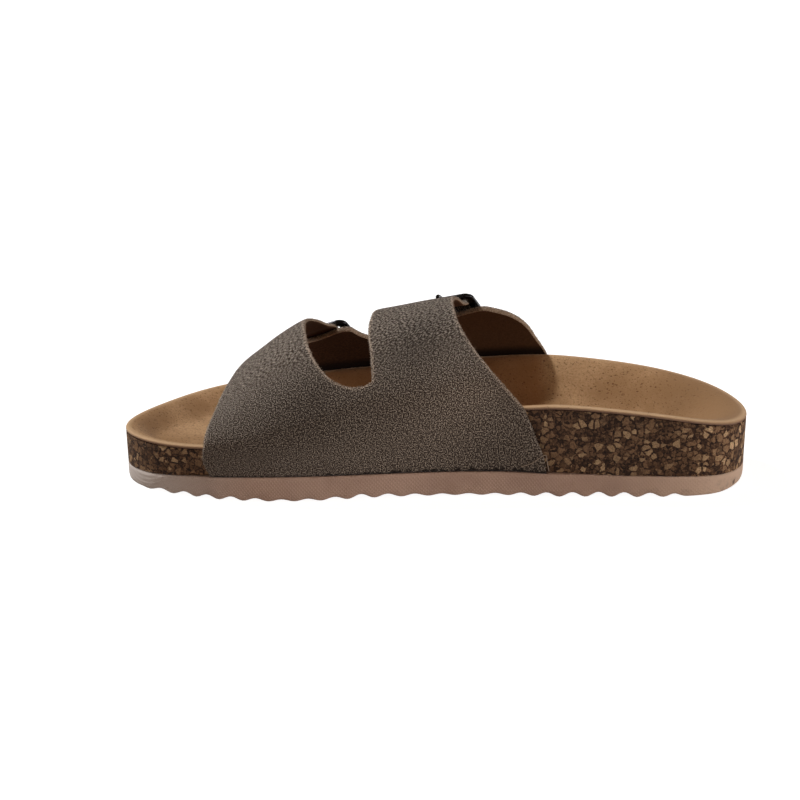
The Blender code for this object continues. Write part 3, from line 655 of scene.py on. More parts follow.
# Colours of painted shade, under the straps and at the heel end
TAN_SHADED, HEEL_PAINTED_SHADE = srgb(156, 104, 60), srgb(148, 113, 79)
clouds = bed_suede.noise(22, 4, 0.6)
nap = bed_suede.noise(0.9, 3, 0.65)
bed_colour = bed_suede.mix(bed_suede.span(clouds, 0.36, 0.66), TAN, TAN_SHADE)
bed_colour = bed_suede.mix(bed_suede.span(nap, 0.38, 0.7, 0.0, 0.75), bed_colour, TAN_SHADE)
pore_cells = bed_suede.cells(1.8, bed_suede.shaken(1.2, 0.5))
pore_pick = bed_suede.node("ShaderNodeSeparateColor", Color=pore_cells.outputs["Color"])
pore = bed_suede.times(bed_suede.span(pore_cells.outputs["Distance"], 0.12, 0.3, 1.0, 0.0),
                       bed_suede.span(pore_pick.outputs[0], 0.15, 0.75))
bed_colour = bed_suede.mix(bed_suede.times(pore, 0.6), bed_colour, PORE_BROWN)
speck = bed_suede.span(bed_suede.noise(0.8, 1.0), 0.6, 0.72, 0.0, 0.55)
bed_colour = bed_suede.mix(speck, bed_colour, PORE_BROWN)
along_bed = bed_suede.along("X")
# Painted shade: the bed is darker and warmer under the straps
behind_front = bed_suede.span(along_bed, -0.075, -0.06)
before_heel = bed_suede.span(along_bed, 0.042, 0.05, 1.0, 0.0)
painted_shade_under_straps = bed_suede.times(behind_front, before_heel)
bed_colour = bed_suede.mix(bed_suede.times(painted_shade_under_straps, 0.65), bed_colour, TAN_SHADED)
# Painted shade: the bed darkens towards the heel end
heel_end = bed_suede.span(along_bed, 0.086, 0.116, 0.0, 0.9)
bed_colour = bed_suede.mix(heel_end, bed_colour, HEEL_PAINTED_SHADE)
from_rim = bed_suede.value("inset")
# Painted highlight: a pale band along the top of the rim
bed_colour = bed_suede.mix(bed_suede.span(from_rim, 0.2, 3.4, 0.85, 0.0), bed_colour, RIM_PAINTED_HIGHLIGHT)
on_cut_edge = bed_suede.span(from_rim, -1.0, -0.2, 1.0, 0.0)
bed_suede.set(Base_Color=bed_suede.mix(on_cut_edge, bed_colour, LINER_EDGE))
bed_suede.set(Normal=bed_suede.bump(nap, 0.2, 0.6, bed_suede.bump(pore, -0.3, 0.6)))
bed_suede.tell()

# %% Footbed liner
# Rounded cut edge of the liner: drawn in, below the rim
LINER_LIP = ((0.45, 0.05), (0.15, 0.2), (0.0, 0.45), (-0.05, 0.8), (0.0, 1.15), (0.2, 1.4))
# Rings over the bed, closer together near the rim, and rings back along the underside
BED_RINGS, SLOPE_RINGS, BACK_RINGS, NEAR_LIP = 26, 14, 16, 0.985
bed_shares = np.concatenate([np.linspace(0, 0.86, BED_RINGS), np.linspace(0.88, NEAR_LIP, SLOPE_RINGS)])
rings = [bed_ring(share, 0.0) for share in bed_shares]
inset = [REACH * (1 - share) for share in bed_shares]
rim_z = smooth(HEIGHTS, EDGE[:, 0], 1)
for draw_in, drop in LINER_LIP:
    rings.append(np.column_stack([EDGE - OUT * draw_in, rim_z - drop]))
    inset.append(np.full(len(EDGE), -drop))
for share in np.linspace(NEAR_LIP, 0, BACK_RINGS):
    rings.append(bed_ring(share, INSOLE_THICKNESS))
    inset.append(REACH * (1 - share))
footbed = ring_piece("footbed_liner", rings, bed_suede, "insole")
point_value(footbed, "inset", np.concatenate(inset))
mend(footbed, 70)

# %% [markdown]
# ## The foot under the straps
# The straps lie on a foot that isn't in the picture. Its surface is a row of sections: a straight wall beside
# the cork, then a quarter arch to the ridge on each side. One grid of points over that surface turns a flat
# pattern place, given as girth from the ridge and distance along the shoe, into a place in space.

# %% Grid over the foot
SIDE_GAP, STRAP_THICKNESS = 0.45, 1.8
QUARTER_GIRTH, WALL_GIRTH, MEDIAL_FULLNESS = 62.0, 20.0, 2.15
# Top of the straps over the foot: x, ridge y, outer ridge z, fullness of the outer side
INSTEP = (
    (-105.0, -8.0, 29.0, 1.7),
    (-95.0, -6.0, 34.5, 1.65),
    (-88.0, -5.0, 38.8, 1.6),
    (-79.0, -4.0, 46.5, 1.5),
    (-66.0, -3.0, 57.1, 1.44),
    (-54.0, -2.0, 64.8, 1.42),
    (-40.0, -2.0, 67.2, 1.45),
    (-27.0, -2.5, 68.2, 1.56),
    (8.0, -4.0, 74.2, 1.76),
    (30.0, -5.0, 75.2, 1.78),
    (60.0, -6.0, 76.0, 1.78),
)
GRID_STEP, ARCH_STEPS = 1.0, 97
GRID_X = np.arange(-112, 68, GRID_STEP)
GRID_G = np.arange(-84, 85, GRID_STEP)


def foot_section(x, girths):
    """Points of the foot's surface at x for signed girths from the ridge."""
    rim = smooth(HEIGHTS, x, 1)
    ridge_y, ridge_z = smooth(INSTEP, x, 1), smooth(INSTEP, x, 2) - STRAP_THICKNESS
    places = np.zeros((len(girths), 3))
    places[:, 0] = x
    for side in (-1, 1):
        on_side = girths < 0 if side < 0 else girths >= 0
        size = np.abs(girths[on_side])
        wall = side_y(x, side) + side * SIDE_GAP
        power = 2 / (MEDIAL_FULLNESS if side < 0 else smooth(INSTEP, x, 3))
        angle = np.linspace(0, math.pi / 2, ARCH_STEPS)
        ys = ridge_y + (wall - ridge_y) * np.sin(angle) ** power
        zs = rim + (ridge_z - rim) * np.abs(np.cos(angle)) ** power
        along = np.concatenate([[0], np.cumsum(np.hypot(np.diff(ys), np.diff(zs)))])
        share, down = size / QUARTER_GIRTH, (size - QUARTER_GIRTH) / WALL_GIRTH
        foot_y, foot_z = wall - side * CORK_DRAFT, outsole_top(x) + GAP
        arch_y, arch_z = (np.interp(share, along / along[-1], values) for values in (ys, zs))
        places[on_side, 1] = np.where(down > 0, wall + (foot_y - wall) * down, arch_y)
        places[on_side, 2] = np.where(down > 0, rim + (foot_z - rim) * down, arch_z)
    return places


FOOT = np.stack([foot_section(x, GRID_G) for x in GRID_X])
FOOT_NORMAL = np.cross(np.gradient(FOOT, axis=0), np.gradient(FOOT, axis=1))
FOOT_NORMAL /= np.linalg.norm(FOOT_NORMAL, axis=2)[:, :, None]


def read_grid(grid, pattern):
    """Values of a grid at pattern places (girth, x), between its points."""
    pattern = np.atleast_2d(pattern)
    u = np.clip((pattern[:, 1] - GRID_X[0]) / GRID_STEP, 0, len(GRID_X) - 1.001)
    v = np.clip((pattern[:, 0] - GRID_G[0]) / GRID_STEP, 0, len(GRID_G) - 1.001)
    i, j = u.astype(int), v.astype(int)
    s, t = (u - i)[:, None], (v - j)[:, None]
    return ((grid[i, j] * (1 - s) + grid[i + 1, j] * s) * (1 - t)
            + (grid[i, j + 1] * (1 - s) + grid[i + 1, j + 1] * s) * t)


print("foot grid:", FOOT.shape[:2], "top", round(FOOT[:, :, 2].max(), 1), "mm")

# %% [markdown]
# ## Where the buckles sit
# Each buckle has its own axes: along the strap, across it and off the foot. Everything near a buckle is
# placed in these axes, so the strap, the fold, the frame and the prong fit each other whatever the foot does.

# %% Buckle axes
FRAME_LENGTH, HEEL_BAR_LIFT = 12.5, 3.3
# Girth to each side of a buckle over which the foot's slope is taken
SLOPE_OVER = 1.5


class Buckle:
    """Axes of a buckle: along the strap (d), across it (w) and off the foot (n)."""

    def __init__(self, girth, x, turn, front_bar):
        self.girth, self.x, self.turn, self.front_bar = girth, x, math.radians(turn), front_bar
        self.origin = read_grid(FOOT, (girth, x))[0]
        self.n = read_grid(FOOT_NORMAL, (girth, x))[0]
        across = read_grid(FOOT, (girth + SLOPE_OVER, x))[0] - read_grid(FOOT, (girth - SLOPE_OVER, x))[0]
        across /= np.linalg.norm(across)
        back = np.cross(across, self.n)
        back *= np.sign(back[0])
        self.d = across * math.cos(self.turn) + back * math.sin(self.turn)
        self.w = np.cross(self.n, self.d)
        self.w *= np.sign(self.w[0])

    def pattern(self, a, b):
        """Pattern place (girth, x) at a along the strap and b across it."""
        c, s = math.cos(self.turn), math.sin(self.turn)
        return (self.girth + a * c - b * s, self.x + a * s + b * c)

    def space(self, a, b, h):
        """Point in space at a along the strap, b across it and h off the foot."""
        return self.origin + self.d * a + self.w * b + self.n * h


BUCKLES = {"front": Buckle(47.0, -49.5, 25.0, 5.0), "rear": Buckle(34.5, 3.4, 20.0, 3.5)}
for name, buckle in BUCKLES.items():
    print(name, "buckle at", np.round(buckle.origin, 1))

# %% [markdown]
# ## The cut of the straps
# The inner cut covers the inner side and splits into two straps with rounded tongues. The outer cut has two
# short arms that take the buckles. A cutter would draw both flat; so do these outlines, in girth and length.

# %% Outlines of both cuts
TONGUE_WIDTH, TONGUE_REACH, TIP = 21.6, 22.0, 6.0
# Where the tongue's straight sides start and a place half way along them
FRONT_SIDE_FROM, BACK_SIDE_FROM, SIDES_PASS = -10.0, -9.0, 8.0
CUT_STEP = 1.2
# Edges as share of girth (0 ridge, 1 rim, 2 sole; minus is the inner side) and x
INNER_FRONT_EDGE = (
    (-2.0, -93.0), (-1.7, -94.8), (-1.3, -95.8), (-1.0, -95.5), (-0.6, -91.5), (-0.1, -86.2), (0.15, -81.5),
    (0.36, -73.5),
)
INNER_GAP = (
    (0.0, -54.6), (-0.19, -54.2), (-0.37, -52.5), (-0.53, -48.6), (-0.63, -43.4), (-0.69, -36.0),
    (-0.697, -30.5),
)
INNER_GAP_CORNER = ((-0.672, -26.9), (-0.5, -27.4), (-0.3, -28.4), (-0.1, -27.6), (0.08, -25.2), (0.2, -20.0))
INNER_BACK_EDGE = (
    (0.0, 6.6), (-0.16, 7.0), (-0.29, 8.2), (-0.42, 11.0), (-0.52, 14.0), (-0.68, 20.5), (-0.89, 30.2),
    (-1.0, 35.0), (-1.5, 40.5), (-1.77, 43.4), (-2.0, 44.8),
)
OUTER_EDGE = (
    (2.0, -83.0), (1.0, -77.5), (0.86, -74.0), (0.74, -69.5), (0.672, -63.5), (0.65, -57.0), (0.636, -50.5),
    (0.598, -46.0), (0.565, -42.7), (0.55, -39.5), (0.565, -36.7), (0.626, -34.3), (0.68, -32.0),
    (0.727, -29.0), (0.81, -24.5), (0.887, -19.0), (0.92, -12.8), (0.88, -7.0), (0.79, -4.2),
    (0.69, -2.0), (0.625, 1.0), (0.597, 5.0), (0.578, 9.5), (0.54, 14.5), (0.508, 19.5),
    (0.514, 22.0), (0.535, 24.5), (0.581, 29.5), (0.661, 35.0), (0.742, 38.9), (0.863, 42.9),
    (1.0, 47.6), (2.0, 52.0),
)


def edge(rows):
    """Pattern places of rows of (share of girth, x)."""
    shares = np.array([row[0] for row in rows])
    size = np.minimum(np.abs(shares), 1) * QUARTER_GIRTH + np.maximum(np.abs(shares) - 1, 0) * WALL_GIRTH
    return [(float(np.sign(s) * g), row[1]) for s, g, row in zip(shares, size, rows)]


def tongue(buckle):
    """Strap end that passes through the buckle: front side, round tip and back side."""
    half = TONGUE_WIDTH / 2
    start = TONGUE_REACH - TIP
    front = [buckle.pattern(a, -half) for a in (FRONT_SIDE_FROM, SIDES_PASS, start)]
    turns = np.linspace(0.25, math.pi - 0.25, 6)
    tip = [buckle.pattern(start + TIP * math.sin(k), -half * math.cos(k)) for k in turns]
    back = [buckle.pattern(a, half) for a in (start, SIDES_PASS, BACK_SIDE_FROM)]
    return front, tip, back


def joined(*runs):
    """One closed outline from runs that are each smooth, with a corner where two meet."""
    return np.concatenate([open_curve(run, CUT_STEP)[:-1] for run in runs])


front, rear = tongue(BUCKLES["front"]), tongue(BUCKLES["rear"])
front_up, front_down = edge(INNER_FRONT_EDGE) + front[0], front[2] + edge(INNER_GAP)
rear_up, rear_down = edge(INNER_GAP_CORNER) + rear[0], rear[2] + edge(INNER_BACK_EDGE)
INNER_CUT = joined(
    front_up, [front_up[-1], *front[1], front_down[0]], front_down, [front_down[-1], rear_up[0]],
    rear_up, [rear_up[-1], *rear[1], rear_down[0]], rear_down, [rear_down[-1], front_up[0]],
)
arms = edge(OUTER_EDGE)
OUTER_CUT = joined(arms, [arms[-1], arms[0]])
print("outline points:", len(INNER_CUT), "inner,", len(OUTER_CUT), "outer")

# %% Punched holes in the tongues
PRONG_HOLE_AT, HOLE_STEP, HOLE_RADIUS, HOLE_POINTS = 4.4, 8.0, 1.1, 20
# The hole that the prong is in has been pulled long: half its length, half its width
PULLED_LONG, PULLED_WIDE = 2.2, 1.25


def punched(buckle, a, half_long, half_wide):
    """Closed outline of a hole in a tongue."""
    turns = np.linspace(0, 2 * math.pi, HOLE_POINTS, endpoint=False)
    return np.array([buckle.pattern(a + half_long * math.cos(k), half_wide * math.sin(k)) for k in turns])


HOLES = []
for buckle in BUCKLES.values():
    HOLES.append(punched(buckle, PRONG_HOLE_AT, PULLED_LONG, PULLED_WIDE))
    HOLES.append(punched(buckle, PRONG_HOLE_AT + HOLE_STEP, HOLE_RADIUS, HOLE_RADIUS))
print("punched holes:", len(HOLES))

# %% [markdown]
# ## Suede, lining and cut edge
# The strap suede is taupe with a short pebbled nap that catches light at its tips, partly from its relief and
# partly as painted highlight, with painted shade in its pits; its cut edge is paler, and the inside is lined
# in dark brown. All three are on one piece, so each face carries the finish of its side.
# The nap is drawn on the flat cut, because it is brushed along the strap and not along the room's axes.

# %% Strap suede
suede = Finish("taupe strap suede", 0.95, Specular_IOR_Level=0.1, Sheen_Weight=0.15, Sheen_Roughness=0.4)
TAUPE_DARK, TAUPE_PALE = srgb(56, 47, 41), srgb(168, 155, 143)
EDGE_PALE, SEAM_GLUE_AND_SHADE = srgb(194, 174, 156), srgb(34, 25, 22)
# The nap grows coarser and slanted from one girth above the seam to another
COARSE_FROM, COARSE_TO = 42, 62
NAP_FINE, NAP_COARSE, NAP_SLANT, NAP_STRETCH = 0.5, 0.55, math.radians(-30), 1.8
# Wear and painted shade change over this band round the rim, as girth above the seam
BAND_LOW, BAND_HIGH = WALL_GIRTH - 4, WALL_GIRTH + 4
on_cut = suede.value("on_cut", "Vector")
above_seam = suede.value("above_seam")
fine_share = suede.span(above_seam, COARSE_FROM, COARSE_TO, 1.0, 0.0)
fine = suede.times(suede.noise(NAP_FINE, 0.0, flat=on_cut), fine_share)
slanted = suede.node("ShaderNodeMapping", {"vector_type": "TEXTURE"}, Vector=on_cut)
slanted.inputs["Rotation"].default_value = (0, 0, NAP_SLANT)
slanted.inputs["Scale"].default_value = (1.0, NAP_STRETCH, 1.0)
coarse_share = suede.span(above_seam, COARSE_FROM, COARSE_TO)
coarse = suede.times(suede.noise(NAP_COARSE, 0.0, flat=slanted.outputs[0]), coarse_share)
fibre = suede.sum(fine, coarse)
# Paler nap tips and darker pits: grain, with painted highlight on the tips and painted shade in the pits
nap_tips = suede.span(fibre, 0.2, 0.8)
suede_colour = suede.mix(suede.times(nap_tips, nap_tips), TAUPE_DARK, TAUPE_PALE)
# Painted light and shade over the straps, in soft patches
painted_light_grey = suede.grey(suede.value("tone"))
suede_colour = suede.mix(1.0, suede_colour, painted_light_grey, "MULTIPLY")
above_rim = suede.span(above_seam, BAND_LOW, BAND_HIGH)
worn = suede.times(suede.span(suede.value("edge"), 0.3, 1.6, 0.9, 0.0), above_rim)
worn = suede.times(worn, suede.span(fibre, 0.4, 0.6, 0.15, 1.0))
suede_colour = suede.mix(worn, suede_colour, EDGE_PALE)
# A dark line along the foot of the strap: partly the glued seam, partly painted contact shadow
glue_and_shade_line = suede.sum(above_seam, suede.span(suede.noise(2.6, 3, 0.6), 0.3, 0.7, -0.9, 0.6))
suede.set(Base_Color=suede.mix(suede.span(glue_and_shade_line, 0.4, 1.6, 0.95, 0.0), suede_colour, SEAM_GLUE_AND_SHADE))
suede.set(Normal=suede.bump(nap_tips, 0.3, 0.9))
suede.tell()

# %% Strap lining
lining = Finish("brown strap lining", 0.9, Specular_IOR_Level=0.15)
BROWN, BROWN_PALE, RIM_SHADE = srgb(58, 36, 22), srgb(76, 50, 33), srgb(20, 12, 8)
# A lit copy of the lining's browns for the rear strap: painted light
REAR_LIT_BROWN, REAR_LIT_PALE = srgb(74, 51, 33), srgb(114, 83, 59)
lining_nap = lining.noise(0.8, 3, 0.6)
lining_colour = lining.mix(lining.span(lining_nap, 0.35, 0.7), BROWN, BROWN_PALE)
# Painted light: the lining of the rear strap is paler
rear_painted_light = lining.span(lining.along("X"), -0.02, 0.02, 0.0, 0.8)
lining_colour = lining.mix(rear_painted_light, lining_colour, lining.mix(lining_nap, REAR_LIT_BROWN, REAR_LIT_PALE))
# Painted shade: the lining darkens where it meets the footbed's rim
rim_painted_shade = lining.span(lining.value("above_seam"), WALL_GIRTH + 1.0, WALL_GIRTH + 5.5, 0.9, 0.0)
lining.set(Base_Color=lining.mix(rim_painted_shade, lining_colour, RIM_SHADE))
lining.set(Normal=lining.bump(lining_nap, 0.12, 0.5))
lining.tell()

# %% Cut edge of the straps
cut_edge = Finish("pale cut edge", 0.95, Specular_IOR_Level=0.1)
CUT_SHADE, CUT_PALE = srgb(132, 111, 94), srgb(190, 167, 146)
edge_fibre = cut_edge.noise(0.6, 3, 0.7)
edge_colour = cut_edge.mix(cut_edge.span(edge_fibre, 0.35, 0.65), CUT_SHADE, CUT_PALE)
# Painted contact shadow: the cut edge darkens beside the cork
contact_shade_beside_cork = cut_edge.span(cut_edge.value("above_seam"), BAND_LOW, BAND_HIGH, 0.85, 0.0)
cut_edge.set(Base_Color=cut_edge.mix(contact_shade_beside_cork, edge_colour, SEAM_GLUE_AND_SHADE))
cut_edge.set(Normal=cut_edge.bump(edge_fibre, 0.25, 0.7))
cut_edge.tell()

# %% [markdown]
# ## Points inside a cut
# A cut has round corners, holes and a slot between its straps, so a plain grid would leave stepped edges. The
# outline keeps its own points, a few rows follow it closely for the rounding, and an even scatter fills the
# rest. One flat triangulation joins them all, which a filled and subdivided face would do less evenly.


# %% Fill a cut with points
def within(points, outline):
    """Which pattern places lie inside a closed outline."""
    a, b = outline, np.roll(outline, -1, 0)
    crossing = (a[:, 1] > points[:, None, 1]) != (b[:, 1] > points[:, None, 1])
    rise = np.where(b[:, 1] == a[:, 1], 1.0, b[:, 1] - a[:, 1])
    at = (b[:, 0] - a[:, 0]) * (points[:, None, 1] - a[:, 1]) / rise + a[:, 0]
    return (crossing & (points[:, None, 0] < at)).sum(1) % 2 == 1


# Points measured at a time, to keep the tables small
BATCH = 2000


def edge_distance(points, loops):
    """Distance from pattern places to the nearest cut edge."""
    best = np.full(len(points), np.inf)
    for a in loops:
        run = np.roll(a, -1, 0) - a
        for first in range(0, len(points), BATCH):
            part = points[first:first + BATCH, None]
            share = np.clip(((part - a) * run).sum(2) / np.maximum((run**2).sum(1), 1e-9), 0, 1)
            gap = np.linalg.norm(part - (a + run * share[..., None]), axis=2).min(1)
            best[first:first + BATCH] = np.minimum(best[first:first + BATCH], gap)
    return best


# Distance between scattered points, and of the rows inside an edge from it
POINT_STEP, EDGE_ROWS = 1.5, (0.22, 0.55, 1.0)


def fill_cut(outline, holes):
    """Triangles over a cut: its outline, rows close to the edge and an even scatter inside."""
    loops = [outline, *holes]
    low, high = outline.min(0), outline.max(0)
    across = np.arange(low[0], high[0], POINT_STEP * math.sqrt(3) / 2)
    scatter = np.concatenate([
        np.stack([np.full(len(row), g), row], 1)
        for k, g in enumerate(across)
        for row in [np.arange(low[1] + (k % 2) * POINT_STEP / 2, high[1], POINT_STEP)]
    ])
    scatter = scatter[within(scatter, outline)]
    scatter = scatter[edge_distance(scatter, loops) > EDGE_ROWS[-1] + POINT_STEP * 0.45]
    rows = []
    for loop in loops:
        run = np.roll(loop, -1, 0) - np.roll(loop, 1, 0)
        side = np.stack([-run[:, 1], run[:, 0]], 1) / np.linalg.norm(run, axis=1)[:, None]
        for inset in EDGE_ROWS:
            for sign in (-1, 1):
                row = loop + side * inset * sign
                rows.append(row[within(row, outline) & (edge_distance(row, loops) > inset * 0.9)])
    points = np.concatenate([*loops, *rows, scatter])
    starts = np.cumsum([0] + [len(loop) for loop in loops])
    ties = []
    for first, hole in zip(starts[1:], holes):
        ties += [(int(first + k), int(first + (k + 1) % len(hole))) for k in range(len(hole))]
    found = geometry.delaunay_2d_cdt([Vector(p) for p in points], ties, [list(range(len(outline)))], 1, 1e-6)
    places = np.array([tuple(v) for v in found[0]])
    triangles = np.array([tuple(f) for f in found[2]])
    middles = places[triangles].mean(1)
    for hole in holes:
        triangles = triangles[~within(middles, hole)]
        middles = places[triangles].mean(1)
    used, renumbered = np.unique(triangles, return_inverse=True)
    places = places[used]
    return places, renumbered.reshape(-1, 3), edge_distance(places, loops)


# %% [markdown]
# ## Creases and set of the suede
# Worn suede isn't a perfect arch: it swells a little over the cork's rim, sinks between the straps and keeps
# soft folds where the foot bends. Each is a shallow trough or ridge along a short line in the pattern. Dark
# and pale places in the suede's tone are painted light and shade; they change only its colour.

# %% Creases and painted light and shade of the straps
# Soft troughs (-) and ridges (+): from girth, from x, to girth, to x, width, height
CREASES = (
    (-52.0, -78.0, -30.0, -62.0, 7.0, -0.5),
    (-50.0, -60.0, -44.0, -38.0, 6.0, -0.55),
    (-58.0, -30.0, -30.0, -18.0, 8.0, -0.4),
    (-66.0, -70.0, -66.0, 20.0, 5.0, 0.45),
    (-24.0, -20.0, -20.0, 4.0, 9.0, 0.4),
    (-46.0, -8.0, -30.0, 8.0, 7.0, -0.35),
    (-76.0, -80.0, -76.0, 30.0, 3.0, -0.3),
    (-14.0, -76.0, 2.0, -66.0, 6.0, 0.35),
    (52.0, -55.0, 58.0, -20.0, 7.0, -0.35),
    (66.0, -60.0, 66.0, 30.0, 5.0, 0.35),
)
# Places of painted shade (-) and painted light (+): girth, x, reach across, reach along, change
PAINTED_LIGHT_AND_SHADE = (
    (-50.0, -57.0, 15.0, 24.0, -0.22),
    (-31.0, -12.0, 14.0, 14.0, -0.27),
    (-57.0, 4.0, 15.0, 22.0, 0.26),
    (-53.0, 16.0, 9.0, 14.0, 0.36),
    (-71.0, -28.0, 8.0, 45.0, 0.16),
    (-77.0, 21.0, 8.0, 11.0, -0.14),
    (-44.0, -48.0, 7.0, 7.0, -0.1),
    (-20.0, -3.0, 11.0, 11.0, -0.2),
    (-55.0, -84.0, 10.0, 8.0, -0.08),
)
print(len(CREASES), "creases and", len(PAINTED_LIGHT_AND_SHADE), "places of painted light and shade")


def painted_light_and_shade_at(places):
    """Brightness of painted light and shade at pattern places."""
    tone = np.ones(len(places))
    for girth, x, across, along, change in PAINTED_LIGHT_AND_SHADE:
        tone += change * hump((places[:, 0] - girth) / across, (places[:, 1] - x) / along)
    return tone


def crease_height(places):
    """Height of all creases at pattern places."""
    height = np.zeros(len(places))
    for from_g, from_x, to_g, to_x, width, rise in CREASES:
        start, run = np.array((from_g, from_x)), np.array((to_g - from_g, to_x - from_x))
        share = np.clip(((places - start) @ run) / (run @ run), 0, 1)
        away = np.linalg.norm(places - start - run * share[:, None], axis=1)
        height += rise * hump(away / width)
    return height


# %% Strap pieces
# Height of the strap's underside over the foot along the buckle: distance past its centre, lift
OVER_BAR = ((4.0, 6.3), (6.6, 7.8), (9.2, 7.0), (12.5, 4.8), (16.5, 2.5), (30.0, 1.95))
TONGUE_LIFT = {
    "front": ((-26.0, 0.0), (-17.0, 0.3), (-9.5, 1.95), (-3.0, 2.0), (1.5, 2.6), *OVER_BAR),
    "rear": ((-26.0, 0.0), (-13.0, 0.0), (-6.25, 0.1), (0.0, 3.0), *OVER_BAR),
}
OUTER_ROUND, INNER_ROUND = 0.85, 0.4
# The front and the rear strap part at this x
STRAPS_PART = -24
# Creases fade out over this girth above the sole, and none is deeper than this where a strap lies on the foot
CREASE_FADE, DEEPEST = 6, 0.6
# The lining makes the outer cut this much thicker and stops this far from its edge
LINING_DEPTH, BARE_EDGE = 0.6, 0.7
# It starts this far above the rim and has its whole depth after this run
LINING_START, LINING_RUN = 2, 5
# Order of the finishes on a strap
SUEDE_FACE, LINED_FACE, CUT_FACE = 0, 1, 2


def tongue_lift(points, places):
    """Lift of the inner cut over the outer arms near the buckles."""
    lift = np.zeros(len(points))
    for name, buckle in BUCKLES.items():
        near = places[:, 1] < STRAPS_PART if name == "front" else places[:, 1] >= STRAPS_PART
        lift = np.where(near, smooth(TONGUE_LIFT[name], (points - buckle.origin) @ buckle.d), lift)
    return lift


def rounded(distance, radius):
    """How far a rounded edge falls back at a distance from it."""
    from_edge = 1 - np.minimum(distance / radius, 1)
    return radius * (1 - np.sqrt(1 - from_edge**2))


def cut_piece(name, outline, holes, lifted, lining_depth=0.0, bare_edge=0.0):
    """Suede piece of even thickness over its cut, lined inside up to a bare edge, with a pale cut edge."""
    places, triangles, distance = fill_cut(outline, holes)
    points, normals = read_grid(FOOT, places), read_grid(FOOT_NORMAL, places)
    lift = tongue_lift(points, places) if lifted else np.zeros(len(points))
    above_seam = QUARTER_GIRTH + WALL_GIRTH - np.abs(places[:, 0])
    swell = np.maximum(crease_height(places) * ease(above_seam / CREASE_FADE), -lift - DEEPEST)
    above_rim = ease((QUARTER_GIRTH - LINING_START - np.abs(places[:, 0])) / LINING_RUN)
    floor = lift + np.maximum(swell, 0) + rounded(distance, INNER_ROUND) - lining_depth * above_rim
    inner = points + normals * floor[:, None]
    outer = points + normals * (lift + swell + STRAP_THICKNESS - rounded(distance, OUTER_ROUND))[:, None]
    count = len(points)
    a, b, c = triangles.T
    sides = np.sort(np.concatenate([triangles[:, [0, 1]], triangles[:, [1, 2]], triangles[:, [2, 0]]]), 1)
    pairs, times = np.unique(sides, axis=0, return_counts=True)
    border = pairs[times == 1]
    strip = np.stack([border[:, 0], border[:, 1], border[:, 1] + count, border[:, 0] + count], 1)
    faces = np.stack([a, b, c], 1).tolist() + (np.stack([c, b, a], 1) + count).tolist() + strip.tolist()
    inside = np.where(distance[triangles].max(1) < bare_edge, CUT_FACE, LINED_FACE).tolist()
    kinds = inside + [SUEDE_FACE] * len(triangles) + [CUT_FACE] * len(strip)
    piece = add_piece(name, np.concatenate([inner, outer]), faces,
                      [suede.material, lining.material, cut_edge.material], kinds, ("upper",))
    point_value(piece, "edge", np.tile(distance, 2))
    point_value(piece, "above_seam", np.tile(above_seam, 2))
    point_value(piece, "tone", np.tile(painted_light_and_shade_at(places), 2))
    point_place(piece, "on_cut", np.tile(places, (2, 1)))
    mend(piece, 60)


cut_piece("strap_inner_cut", INNER_CUT, HOLES, True)
cut_piece("strap_outer_cut", OUTER_CUT, [], False, LINING_DEPTH, BARE_EDGE)

# %% [markdown]
# ## Loose fibres along the cut edges
# Cut suede sheds a fringe of short fibres that softens its edge. A particle system could grow them, but a few
# thousand thin spikes in one joined mesh, drawn from a fixed seed, stay the same in every run. One long
# thread has come loose at the foot of the rear strap; it is a thin bar along a path, as the buckles are.

# %% Bars along a path
# Below one, a bar's section is squarer than a circle
ROUNDNESS = 0.8


def bar_along(path, thick, wide, up, sides, closed):
    """Points and faces of a rounded bar: half thick off the plane square to up, half wide within it."""
    path = np.array(path)
    before = np.roll(path, 1, 0) if closed else np.concatenate([path[:1], path[:-1]])
    after = np.roll(path, -1, 0) if closed else np.concatenate([path[1:], path[-1:]])
    run = (after - before) / np.linalg.norm(after - before, axis=1)[:, None]
    beside = np.cross(up, run)
    beside /= np.linalg.norm(beside, axis=1)[:, None]
    over = np.cross(run, beside)
    turns = 2 * math.pi * (np.arange(sides) + 0.5) / sides
    c = np.sign(np.cos(turns)) * np.abs(np.cos(turns)) ** ROUNDNESS
    s = np.sign(np.sin(turns)) * np.abs(np.sin(turns)) ** ROUNDNESS
    wide, thick = np.broadcast_to(wide, len(path)), np.broadcast_to(thick, len(path))
    points = (path[:, None] + beside[:, None] * (wide[:, None] * c)[..., None]
              + over[:, None] * (thick[:, None] * s)[..., None]).reshape(-1, 3)
    faces = ring_faces(sides, len(path))
    if closed:
        last = (len(path) - 1) * sides
        faces += [(last + k, last + (k + 1) % sides, (k + 1) % sides, k) for k in range(sides)]
    else:
        faces += [tuple(range(sides)), tuple(range(len(path) * sides - 1, (len(path) - 1) * sides - 1, -1))]
    return points, faces


# %% Fringe of fibres
fibre_finish = Finish("loose suede fibres", 0.95, Specular_IOR_Level=0.1)
fibre_tone = fibre_finish.noise(0.9, 2)
fibre_finish.set(Base_Color=fibre_finish.mix(fibre_tone, srgb(120, 104, 92), srgb(196, 178, 162)))
fibre_finish.tell()
FIBRE_EVERY, FIBRE_LENGTH, FIBRE_WIDTH, FIBRE_ROOT = 0.08, (0.3, 0.7), 0.07, 0.25
# No fibres in the lowest part of the wall or close to either face of the suede
FRINGE_STOPS, FIBRE_MARGIN = 4, 0.3
# How far fibres lean off the foot and how much each strays from its way
FIBRE_LEAN, FIBRE_STRAY = (-0.3, 0.7), 0.35
# A small step off the edge shows which side is out, and no fibre points along this odd way
STEP_OUT, ODD_WAY, SEED = 0.2, (0.3, 0.5, 0.8), 7
random = np.random.default_rng(SEED)


